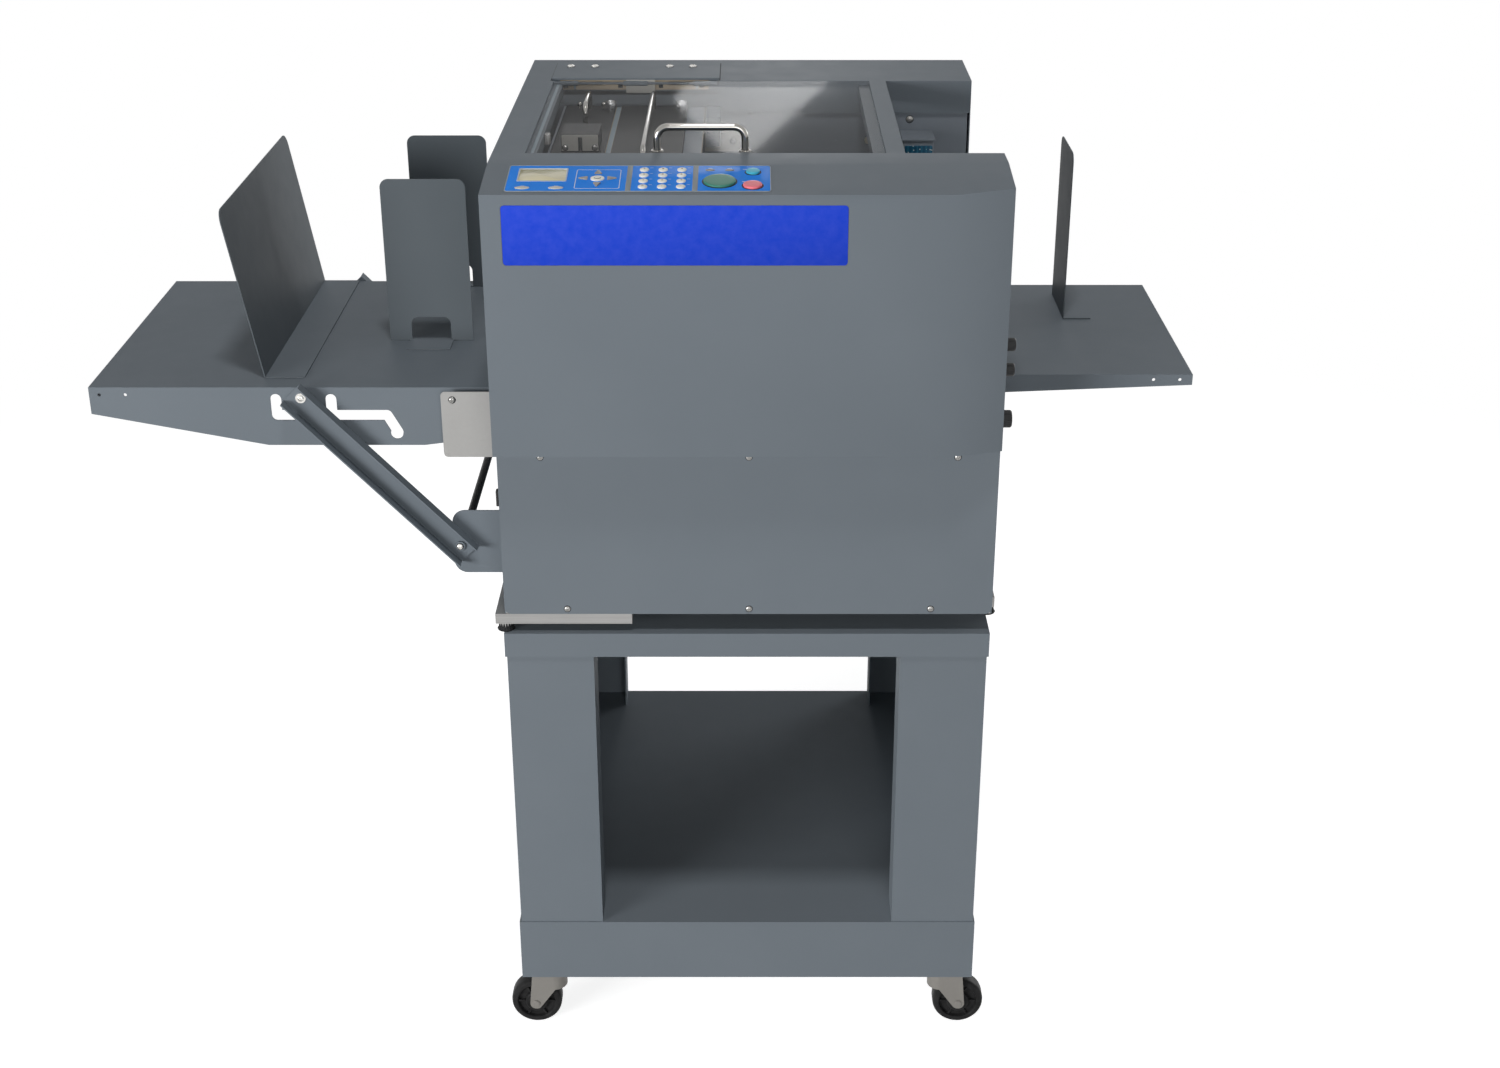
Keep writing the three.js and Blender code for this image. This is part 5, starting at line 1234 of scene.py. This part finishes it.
class CREASER_OT_strip(bpy.types.Operator):
    """Builds the operating strip: its film, display, number keys, arrows and printed lines"""

    bl_idname = "creaser.strip"
    bl_label = "Operating strip"

    def execute(self, context):
        self.film()
        self.screen()
        self.lines()
        self.keys()
        self.digits()
        return {"FINISHED"}

    def film(self):
        """The film, cut round the display and the three round keys, in a thin pale rim."""
        middle = (STRIP_WIDTH / 2, STRIP_DEPTH / 2)
        bm = bmesh.new()
        strip_slab(bm, middle, (275.7, 70.2), 3.0, -1.2, 0.12, 0.1)
        film = added("film", to_mesh(bm, "film"))
        cutters = bmesh.new()
        strip_slab(cutters, SCREEN[:2], SCREEN[2:], 1.2, -0.7, 4)
        for place, radius in ROUND_KEYS.values():
            hole = radius + 0.5
            turn(cutters, on_strip(*place), in_mm([(0, -4), (hole, -4), (hole, 4), (0, 4)]), 64)
        cutter = added("film_cutter", to_mesh(cutters, "film_cutter"))
        cut = film.modifiers.new("Cut", "BOOLEAN")
        cut.operation = "DIFFERENCE"
        cut.object = cutter
        cut.solver = "EXACT"
        made = shaded(settled(film), 30)
        bpy.data.objects.remove(cutter)
        new_piece("operating_film", made, "film", replaces=["operating_strip"])
        rim = bmesh.new()
        strip_band(rim, middle, (276.4, 70.9), 1.8, (3.4, 2.6), -1.2, 0.35)
        built("operating_strip_rim", rim, "trim")

    def screen(self):
        """The display's glass and its pale bezel."""
        place, (width, depth) = SCREEN[:2], SCREEN[2:]
        bm = bmesh.new()
        strip_slab(bm, place, (width - 0.4, depth - 0.4), 1.0, -0.7, -0.25, 0.08)
        built("display_glass", bm, "display")
        bm = bmesh.new()
        strip_band(bm, place, (width + 1.6, depth + 1.6), 3.0, (1.8, 0.8), -0.5, 0.45)
        built("display_bezel", bm, "bezel")

    def lines(self):
        """The grey dividers, the printed box round the arrows and the marks beside the keys."""
        bm = bmesh.new()
        for x, width in DIVIDERS:
            strip_slab(bm, (x, STRIP_DEPTH / 2), (width, 69.6), 0.3, -0.1, 0.3, 0.1, 2)
        built("strip_dividers", bm, "divider")
        bm = bmesh.new()
        strip_band(bm, CURSOR_BOX[:2], CURSOR_BOX[2:], 1.5, (2.4, 1.7), -0.1, 0.18)
        marks = [((x, up + 5.2), (4.6, 0.7), 0.2) for x, up in MENU_KEYS + SMALL_KEYS]
        marks += [((x, up), (reach, 1.1), 0.3) for x, up, reach in KEY_LINES]
        marks += [((column[row][0] + 7.6, column[row][1] + 6.2), (3.4, 0.6), 0.2)
                  for row in range(4) for column in NUMBER_PLACES]
        for place, size, corner in marks:
            strip_slab(bm, place, size, corner, 0.0, 0.17, steps=2)
        built("strip_print", bm, "print")

    def keys(self):
        """Number keys, centre key, arrows and the small grey keys."""
        tree = key_tree()
        for name, (places, half, deep, rise, finish) in PADS.items():
            mesh = grown(name, tree, [(x, y, 0) for x, y in in_mm(places)], {
                "Half width": half * MM, "Half depth": deep * MM, "Rise": rise * MM,
                "Finish": paints()[finish]}, strip_frame())
            new_piece(name, mesh, finish)
        bm = bmesh.new()
        for k in range(4):
            at = on_strip(*CURSOR) @ Matrix.Rotation(k * math.pi / 2, 4, "Z") @ \
                Matrix.Translation(((14.4, 16.4)[k % 2] * MM, 0, 0))
            slab(bm, at, in_mm(ARROW), 0.0, 1.5 * MM, 0.5 * MM)
        built("arrow_keys", bm, "arrows")
        bm = bmesh.new()
        turns = [math.radians(205 + 130 * i / 12) for i in range(13)]
        arc = [(4.4 * math.cos(a), 4.4 * math.sin(a) + 0.6) for a in turns]
        arc += [(x * 0.76, (y - 0.6) * 0.76 + 0.6) for x, y in reversed(arc)]
        slab(bm, on_strip(*CURSOR), in_mm(arc), 1.0 * MM, 1.68 * MM)
        built("centre_key_mark", bm, "ink")

    def digits(self):
        """Plain numbers on the number keys."""
        whole = bmesh.new()
        for column, marks in zip(NUMBER_PLACES, NUMBER_MARKS):
            for place, mark in zip(column, marks):
                text = bpy.data.curves.new("digit", "FONT")
                text.body, text.size, text.extrude = mark, 4.2 * MM, 0.05 * MM
                text.align_x, text.align_y = "CENTER", "CENTER"
                mesh = settled(added("digit", text))
                mesh.transform(on_strip(*place, 1.88))
                whole.from_mesh(mesh)
                bpy.data.meshes.remove(mesh)
        built("key_digits", whole, "ink")


class CREASER_OT_buttons(bpy.types.Operator):
    """Turns the start, stop and clear keys, each with a domed cap in a dark well"""

    bl_idname = "creaser.buttons"
    bl_label = "Round keys"

    def execute(self, context):
        wells = bmesh.new()
        for key, (place, radius) in ROUND_KEYS.items():
            bm = bmesh.new()
            turn(bm, on_strip(*place), in_mm([
                (0, -8), (radius * 0.96, -8), (radius * 0.97, -1.0), (radius, 0.2), (radius, 1.5),
                (radius * 0.985, 2.0), (radius * 0.95, 2.35), (radius * 0.85, 2.5), (radius * 0.6, 2.56),
                (radius * 0.3, 2.59), (0, 2.6)]), 72)
            built(f"{key}_key_cap", bm, key, f"{key}_key", [f"{key}_button"], 40)
            outer, inner = radius + 1.5, radius + 0.42
            turn(wells, on_strip(*place), in_mm([
                (inner, -1.2), (outer, -1.2), (outer, 0.3), (outer - 0.3, 0.55), (inner + 0.2, 0.55),
                (inner, 0.35), (inner, -1.2)]), 72)
        built("round_key_wells", wells, "black")
        return {"FINISHED"}


PLATE_POCKET = (-136.4 * MM, 223.7 * MM, 1020.7 * MM, 1085.4 * MM)
PLATE_GAP = 0.7 * MM


class CREASER_OT_plate(bpy.types.Operator):
    """Adds the bare blue name plate in its pocket on the front"""

    bl_idname = "creaser.plate"
    bl_label = "Name plate"

    def execute(self, context):
        bm = bmesh.new()
        x0, x1, z0, z1 = PLATE_POCKET
        outline = round_corners(x1 - x0 - PLATE_GAP, z1 - z0 - PLATE_GAP, 3.7 * MM, 8)
        slab(bm, on_wall(((x0 + x1) / 2, FRONT_Y, (z0 + z1) / 2)), outline, -0.58 * MM, -0.06 * MM, 0.15 * MM)
        built("name_plate", bm, "plate")
        return {"FINISHED"}


# Trays, brackets and arms


# Each node of the trays: its body, its finish and the radius of its folds, or None for the user's choice
TRAY_NODES = {
    "feed_tray": ("tray", "body", None), "output_tray": ("machine", "body", None),
    "front_tray_bracket": ("machine", "plated", 0.0012), "rear_tray_bracket": ("machine", "plated", 0.0012),
    "front_arm_bracket": ("machine", "body", 0.0012), "rear_arm_bracket": ("machine", "body", 0.0012),
    "front_support_arm": ("front_arm", "body", 0.0012), "rear_support_arm": ("rear_arm", "body", 0.0012),
}
GUIDES = {"feed_end_stop": "end_stop", "front_side_guide": "front_guide",
          "rear_side_guide": "rear_guide", "output_end_stop": "output_stop"}
SOLE_RISE = 2.4 * MM


class CREASER_OT_trays(bpy.types.Operator):
    """Dresses both trays, the brackets, the support arms, the stops and the side guides"""

    bl_idname = "creaser.trays"
    bl_label = "Trays and guides"

    def execute(self, context):
        for node, (body, finish, fold) in TRAY_NODES.items():
            soften(node, finish, fold, body=body)
        for node, body in GUIDES.items():
            self.sole_painted_light(soften(node, "guides", 0.0011, 0.00022, body).data)
        self.stay()
        return {"FINISHED"}

    def sole_painted_light(self, mesh):
        """Paints the flat faces of the foot that lies on a tray in the tray's paler paint, as a painted
        highlight for the light from above.
        """
        ground = min(corner.co.z for corner in mesh.vertices) + SOLE_RISE
        mesh.materials.append(paints()["body"])
        for face in mesh.polygons:
            if face.center.z < ground and abs(face.normal.z) > 0.7:
                face.material_index = 1

    def stay(self):
        """The black stay bar, with a turned collar at each end."""
        low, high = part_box("stay_bar")
        half = (high.y - low.y) / 2
        radius = (high.x - low.x) / 2
        collar = [(0, half), (radius * 0.94, half), (radius, half - 0.0006), (radius, half - 0.009),
                  (radius * 0.8, half - 0.0098)]
        bm = bmesh.new()
        turn(bm, standing((low + high) / 2, BACK), [(r, -h) for r, h in collar] + collar[::-1], 40)
        built("stay_bar_turned", bm, "black", replaces=["stay_bar"])


class CREASER_OT_knobs(bpy.types.Operator):
    """Turns the three fluted knobs on the right side"""

    bl_idname = "creaser.knobs"
    bl_label = "Side knobs"

    def execute(self, context):
        for name in ("upper", "middle", "lower"):
            low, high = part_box(f"{name}_side_knob")
            radius = (high.z - low.z) / 2
            count = round(radius / (0.4 * MM))
            flutes = fluted(count, 0.045, 2)
            bm = bmesh.new()
            turn(bm, standing((RIGHT_X, (low.y + high.y) / 2, (low.z + high.z) / 2), RIGHT), [
                (0, -0.014), (0.003, -0.014), (0.003, 0.001), (radius * 0.93, 0.001),
                (radius, 0.0016), (radius, 0.0022), (radius, 0.0130), (radius * 0.985, 0.0136),
                (radius * 0.9, 0.0148), (radius * 0.84, 0.0150), (radius * 0.8, 0.0144),
                (radius * 0.4, 0.0143), (0, 0.0143)], count * 8, {5: flutes, 6: flutes})
            built(f"{name}_side_knob_fluted", bm, "knob", f"knob_{name}", [f"{name}_side_knob"], 40)
        return {"FINISHED"}


# The works inside


# Each roller: its body, its finish, its radius, how many bands it has and whether it has a toothed pulley
ROLLERS = {
    "feed_roller": ("feeder", "roller", 0.018, 5, True),
    "intake_roller_lower": ("intake_lower", "ground", 0.013, 1, True),
    "intake_roller_upper": ("intake_upper", "roller", 0.013, 1, False),
    "exit_roller_lower": ("exit_lower", "ground", 0.013, 1, True),
    "exit_roller_upper": ("exit_upper", "roller", 0.013, 1, False),
}
ROLLER_FROM, ROLLER_TO, BAND_GAP = -0.150, 0.160, 0.003
PULLEY_FROM, PULLEY_TO, PULLEY_TEETH = -0.193, -0.185, 24


class CREASER_OT_works(bpy.types.Operator):
    """Dresses the frames, the paper path, the unit covers, the rollers and the drive"""

    bl_idname = "creaser.works"
    bl_label = "Works"

    def execute(self, context):
        soften("front_frame", "inner", 0.0010)
        soften("rear_frame", "inner", 0.0010)
        soften("paper_guide", "inner", 0.0008)
        soften("intake_unit_cover", "works", 0.0012)
        soften("crease_unit_cover", "works", 0.0012)
        soften("drive_motor", "black", 0.0008)
        soften("creasing_die", "ground", 0.0006)
        soften("creasing_blade", "ground", 0.0004, body="blade")
        refinish("drive_belt", "belt")
        refinish("drive_pinion", "turned")
        refinish("cam_shaft", "turned")
        for node in ROLLERS:
            self.roller(node, *ROLLERS[node])
        grab_handle("intake_unit_handle", 1, 0.0105)
        grab_handle("crease_unit_handle", 1, 0.0105)
        return {"FINISHED"}

    def roller(self, node, body, core, radius, bands, driven):
        """A roller with its shaft and, on the driven ones, a toothed pulley."""
        low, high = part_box(node)
        at = standing(((low.x + high.x) / 2, 0, (low.z + high.z) / 2), BACK)
        start, end = low.y, high.y
        bm = bmesh.new()
        turn(bm, at, [(0, start), (0.0044, start), (0.005, start + 0.0006), (0.005, end - 0.0006),
                      (0.0044, end), (0, end)], 40, finish=1)
        gap = BAND_GAP if bands > 1 else 0
        for k in range(bands):
            a, b = (ROLLER_FROM + (ROLLER_TO - ROLLER_FROM) * i / bands for i in (k, k + 1))
            a, b = a + gap, b - gap
            turn(bm, at, [(0, a), (radius - 0.0008, a), (radius, a + 0.0008), (radius, b - 0.0008),
                          (radius - 0.0008, b), (0, b)], 64)
        if driven:
            teeth = fluted(PULLEY_TEETH, 0.05)
            p0, p1 = PULLEY_FROM, PULLEY_TO
            turn(bm, at, [(0, p0), (0.0118, p0), (0.0118, p1), (0.0144, p1 + 0.0001), (0.0144, p1 + 0.0013),
                          (0, p1 + 0.0013)], PULLEY_TEETH * 4, {1: teeth, 2: teeth}, finish=1)
        built(f"{node}_turned", bm, (core, "turned"), body, [node], 32)


# Boxes that show through the lid: the finish, the lower and upper corner of each box and, where it isn't the
# usual one, the slot or the broken edge
HINGE_BOXES = {
    "sensor_strip": ("tan", [((-0.1150, 0.1942, 1.0945), (0.0700, 0.1951, 1.1062))], "plated_steel"),
    "strip_clamp": ("tin", [((-0.0330, 0.1915, 1.0910), (0.0030, 0.1943, 1.1068))]),
    "sensor_windows": ("hole", [((x - 0.0028, 0.1938, 1.0968), (x + 0.0028, 0.1944, 1.1030))
                                for x in (-0.1086, -0.0401, 0.0103, 0.0613)]),
    "sensor_tapes": ("pale", [((x - 0.0011, 0.1937, 1.0950), (x + 0.0011, 0.1943, 1.1058))
                              for x in (-0.0970, 0.0553)]),
}
COVER_BOXES = {
    "centre_strip": ("pale", [((-0.0450, -0.1760, 1.0690), (-0.0383, 0.1860, 1.0742))]),
    "centre_strip_edges": ("tan", [((x, -0.1758, 1.0735), (x + 0.0007, 0.1858, 1.0747))
                                   for x in (-0.0452, -0.0388)]),
    "left_strip": ("inner", [((-0.1102, -0.1760, 1.0560), (-0.1080, 0.1860, 1.0760))], "body_paint"),
    "right_strip": ("inner", [((0.0443, -0.1770, 1.0600), (0.0660, 0.1862, 1.0745))], "body_paint"),
    "right_strip_edge": ("tan", [((0.0656, -0.1768, 1.0735), (0.0663, 0.1858, 1.0752))]),
    "corner_plate": ("body", [((0.0668, 0.1280, 1.0380), (0.0850, 0.1862, 1.0755))]),
    "sensor_block_face": ("tin", [((-0.0942, -0.0492, 1.0772), (-0.0523, -0.0478, 1.0955))]),
    # Painted shade: the sensor block's slot is a flat dark strip, not cut.
    "sensor_block_slot": ("hole", [((-0.0752, -0.0496, 1.0775), (-0.0705, -0.0490, 1.0930))]),
    "board_box": ("inner", [((0.3110, 0.1400, 0.9850), (0.3490, 0.1868, 1.0440))], "body_paint", 0.0008),
    "board_box_lip": ("inner", [((0.3095, 0.1385, 1.0430), (0.3505, 0.1868, 1.0452))], "body_paint", 0.0006),
    "cap_clip": ("hole", [((0.1190, 0.1832, 1.0664), (0.1255, 0.1842, 1.0690))]),
}
COVER_TOP, REAR_FACE, LEDGE_DROP = 1.0757, 0.187, 4.3 * MM
# Width of the painted shadow line round the hinge plate
HINGE_SHADE_WIDTH = 0.9 * MM
# The rear frame's drilled holes: across and up in metres, and the radius in millimetres
DRILLED = (
    (0.1261, 1.0555, 1.5), (0.1678, 1.0555, 1.5), (0.2135, 1.0561, 1.7), (0.2516, 1.0561, 1.7),
    (0.1917, 1.0309, 1.5), (0.1918, 1.0231, 1.5), (0.2295, 1.0309, 1.5), (0.2532, 1.0352, 1.8),
    (0.2605, 1.0352, 1.4))


class CREASER_OT_details(bpy.types.Operator):
    """Adds the small parts that show through the lid: strips, blocks, thumb screws and the board"""

    bl_idname = "creaser.details"
    bl_label = "Inner details"

    def execute(self, context):
        for name, spec in (HINGE_BOXES | COVER_BOXES).items():
            boxes(name, *spec)
        self.hinge_shade_line()
        self.studs()
        self.rear_parts()
        self.ledge()
        return {"FINISHED"}

    def hinge_shade_line(self):
        """A painted shadow: a dark line on the roof round three sides of the hinge plate, where the plate
        lies on it.
        """
        (x0, y0, _), (x1, y1, _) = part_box("lid_hinge_plate")
        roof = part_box("rear_housing")[1].z
        boxes("hinge_plate_gap", "hole", [
            ((x1, y0, roof), (x1 + HINGE_SHADE_WIDTH, y1, roof + 0.0001)),
            ((x0 - HINGE_SHADE_WIDTH, y0, roof), (x0, y1, roof + 0.0001)),
            ((x0, y1, roof), (x1, y1 + HINGE_SHADE_WIDTH, roof + 0.0001))], edge=0.0)

    def studs(self):
        """Thumb screws and ball studs on the black covers, and the sensor block's screws."""
        bm = bmesh.new()
        knurl = fluted(20, 0.05)
        for x in (-0.0505, 0.0372):
            turn(bm, standing((x, 0.1588, COVER_TOP), UP), [
                (0, 0), (0.0032, 0), (0.0032, 0.0040), (0.0062, 0.0044), (0.0066, 0.0050),
                (0.0068, 0.0054), (0.0068, 0.0112), (0.0062, 0.0122), (0.0036, 0.0124),
                (0.0030, 0.0116), (0, 0.0114)], 80, {5: knurl, 6: knurl})
        built("thumb_screws", bm, "turned", sharp=40)
        bm = bmesh.new()
        ball = [(0.0031 * math.sin(t), 0.0052 - 0.0031 * math.cos(t))
                for t in (math.radians(25 + 155 * i / 12) for i in range(12))]
        for x in (-0.0898, -0.0600):
            turn(bm, standing((x, 0.1732, COVER_TOP), UP), [
                (0, 0), (0.0034, 0), (0.0034, 0.0009), (0.0013, 0.0012), *ball, (0, 0.0083)], 32)
        built("ball_studs", bm, "chrome", sharp=40)
        screws("sensor_block_screws", [(-0.0903, -0.0492, 1.0809), (-0.0562, -0.0492, 1.0809)],
               FRONT, 0.0029, 0.0016)

    def rear_parts(self):
        """What stands on the rear frame: the bright block, drilled holes and a slot drawn as dark discs of
        painted shade, and the board.
        """
        bm = bmesh.new()
        slab(bm, on_wall((0.0876, REAR_FACE, 1.0322)), round_corners(0.0459, 0.0240, 0.0008, 3),
             0.0, 0.0085, 0.0006)
        built("end_block", bm, "tin")
        screws("end_block_screws", [(0.0750, 0.1786, 1.0335), (0.1002, 0.1786, 1.0335)],
               FRONT, 0.0036, 0.0018)
        # Painted shade: each drilled hole is a flat dark disc in a raised ring, and the slot a flat dark
        # strip; nothing is cut.
        bm = bmesh.new()
        for x, z, r in DRILLED:
            at = standing((x, REAR_FACE, z), FRONT)
            turn(bm, at, [(0, 0.0), (r * MM, 0.0), (r * MM, 0.00018), (0, 0.00018)], 20, finish=1)
            turn(bm, at, [(r * MM, 0.0), ((r + 0.35) * MM, 0.0), ((r + 0.25) * MM, 0.00025),
                          (r * MM, 0.0002), (r * MM, 0.0)], 20)
        slab(bm, on_wall((0.2155, REAR_FACE, 1.0192)), round_corners(0.0140, 0.0040, 0.0010, 3),
             0.0, 0.0002, finish=1)
        built("frame_holes", bm, ("inner", "hole"))
        bm = bmesh.new()
        turn(bm, standing((0.2700, REAR_FACE, 1.0327), FRONT), [
            (0, 0), (0.0046, 0), (0.0046, 0.0030), (0.0040, 0.0040), (0.0020, 0.0042), (0, 0.0042)], 36)
        built("cream_bush", bm, "cream")
        screws("frame_screw", [(0.3215, REAR_FACE, 1.0590)], FRONT, 0.0042, 0.0022)
        bm = bmesh.new()
        slab(bm, on_wall((0.3300, 0.1400, 1.0120)), round_corners(0.0340, 0.0500, 0.0010, 3),
             0.0, 0.0016, 0.0002)
        built("printed_board", bm, "board")

    def ledge(self):
        """The pale seal on the lid's left ledge and its small latch."""
        z = TOP_Z - LEDGE_DROP
        boxes("ledge_tape", "pale", [((-0.1180, -0.1770, z), (-0.1146, 0.1820, z + 0.00022))], edge=0.0001)
        boxes("lid_latch", "plated", [((-0.1108, -0.0770, z - 0.0120), (-0.1050, -0.0650, z - 0.0010))])
        screws("lid_latch_screw", [(-0.1080, -0.0710, z - 0.0010)], UP, 0.0022, 0.0009)


# Fasteners


ARM_FLANGE = 14.5 * MM
HOUSING_SCREW_IN = 16 * MM
BRACKET_SCREW, ARM_PIN, ARM_PIVOT = (-0.2141, 0.8319), (-0.3867, 0.8304), (-0.2165, 0.6469)
ARM_WASHER = 5.85 * MM


class CREASER_OT_fasteners(bpy.types.Operator):
    """Adds the screws of the hinge plate, the covers, the brackets, the arms and the rear housing"""

    bl_idname = "creaser.fasteners"
    bl_label = "Screws"

    def execute(self, context):
        s = context.scene.creaser_sizes
        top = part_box("lid_hinge_plate")[1].z
        front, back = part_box("lower_front_cover")[0].y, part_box("rear_housing")[1].y
        left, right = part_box("left_side_cover")[0].x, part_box("right_side_cover")[1].x
        screws("hinge_plate_screws", [(x, 0.2617, top) for x in (-0.1066, -0.0761, 0.0191, 0.0488)],
               UP, s.hinge_screw, 0.0030, "bright")
        for name, across, z in (("lower_cover_screws", (-0.0863, 0.1204, 0.3270), 0.6062),
                                ("upper_cover_screws", (-0.1099, 0.1204, 0.3507), 0.7925)):
            screws(name, [(x, front, z) for x in across], FRONT, s.cover_screw, 0.0020)
        for side, facing in (("front", FRONT), ("rear", BACK)):
            self.arm_screws(side, facing, s.pivot_screw)
        screws("rear_housing_screws", [
            (x, back - HOUSING_SCREW_IN, z) for x in (LEFT_X, RIGHT_X) for z in (0.63, 0.85, 1.07)],
            [LEFT] * 3 + [RIGHT] * 3, s.cover_screw, 0.0016)
        for name, x, facing, upper in (("left_cover_screws", left, LEFT, 0.79),
                                       ("right_cover_screws", right, RIGHT, 0.78)):
            screws(name, [(x, y, z) for y in (-0.262, 0.168) for z in (0.6125, upper)],
                   facing, s.cover_screw, 0.0018)
        screws("bracket_tab_screws", [
            (left - 0.0015, y, z) for y in (-0.1975, 0.2125) for z in (0.6250, 0.6770)], LEFT, 0.0030, 0.0017)
        return {"FINISHED"}

    def arm_screws(self, side, facing, radius):
        """The socket screws of one side: the tray bracket's, the arm's pin and its pivot."""
        end = 0 if facing is FRONT else 1
        for name, body, node, (x, z), inset, height, finish, washer in (
                (f"{side}_bracket_screw", "machine", f"{side}_tray_bracket", BRACKET_SCREW, 0,
                 0.0022, "screw", 0.0),
                (f"{side}_arm_pin_screw", f"{side}_arm", f"{side}_support_arm", ARM_PIN, ARM_FLANGE,
                 0.0024, "bright", ARM_WASHER),
                (f"{side}_arm_pivot_screw", "machine", f"{side}_arm_bracket", ARM_PIVOT, 0,
                 0.0024, "bright", 0.0)):
            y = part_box(node)[end].y - facing[1] * inset
            screws(name, [(x, y, z)], facing, radius, height, finish, body, washer, True)


class CREASER_OT_back(bpy.types.Operator):
    """Adds the power inlet's socket on the rear housing and the small bumper on the left side"""

    bl_idname = "creaser.back"
    bl_label = "Inlet and bumper"

    def execute(self, context):
        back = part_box("rear_housing")[1].y
        bm = bmesh.new()
        at = on_wall((0.320, back, 0.655), -90)
        outer, inner = round_corners(0.0278, 0.0198, 0.0022), round_corners(0.0232, 0.0152, 0.0030)
        joined(bm, lines_of(bm, at, (outer, -0.022), (outer, -0.0002), (inner, -0.0002), (inner, -0.016)))
        for x, y in ((-0.0065, -0.0015), (0.0065, -0.0015), (0.0, 0.0030)):
            slab(bm, at @ Matrix.Translation((x, y, 0)), round_corners(0.0018, 0.0040, 0.0004, 2),
                 -0.016, -0.004, 0.0003, 1)
        built("power_inlet", bm, ("black", "turned"))
        bm = bmesh.new()
        box_slab(bm, (-0.1612, -0.2790, 0.7330), (-0.1578, -0.2700, 0.7512), 0.0008, 0.0012)
        built("side_bumper", bm, "black")
        return {"FINISHED"}


class CREASER_PT_panel(bpy.types.Panel):
    """Lists the machine's colours, sizes and steps"""

    bl_idname = "CREASER_PT_panel"
    bl_label = "Paper creasing machine"
    bl_space_type = "VIEW_3D"
    bl_region_type = "UI"
    bl_category = "Creaser"

    def draw(self, context):
        layout = self.layout
        for group in (context.scene.creaser_paint, context.scene.creaser_sizes):
            column = layout.column(align=True)
            for name in type(group).__annotations__:
                column.prop(group, name)
        for step in STEPS:
            layout.operator(step.bl_idname)


STEPS = (
    CREASER_OT_stage, CREASER_OT_cart, CREASER_OT_casters, CREASER_OT_shell, CREASER_OT_lid,
    CREASER_OT_strip, CREASER_OT_buttons, CREASER_OT_plate, CREASER_OT_trays, CREASER_OT_knobs,
    CREASER_OT_works, CREASER_OT_details, CREASER_OT_fasteners, CREASER_OT_back,
)
GROUPS = (CreaserPaint, CreaserSizes)


def register():
    for kind in (*GROUPS, *STEPS, CREASER_PT_panel):
        bpy.utils.register_class(kind)
    bpy.types.Scene.creaser_paint = bpy.props.PointerProperty(type=CreaserPaint)
    bpy.types.Scene.creaser_sizes = bpy.props.PointerProperty(type=CreaserSizes)


def unregister():
    del bpy.types.Scene.creaser_sizes
    del bpy.types.Scene.creaser_paint
    for kind in reversed((*GROUPS, *STEPS, CREASER_PT_panel)):
        bpy.utils.unregister_class(kind)


def main():
    register()
    bpy.ops.creaser.stage()
    bpy.ops.creaser.cart()
    bpy.ops.creaser.casters()
    bpy.ops.creaser.shell()
    bpy.ops.creaser.lid()
    bpy.ops.creaser.strip()
    bpy.ops.creaser.buttons()
    bpy.ops.creaser.plate()
    bpy.ops.creaser.trays()
    bpy.ops.creaser.knobs()
    bpy.ops.creaser.works()
    bpy.ops.creaser.details()
    bpy.ops.creaser.fasteners()
    bpy.ops.creaser.back()


if __name__ == "__main__":
    main()
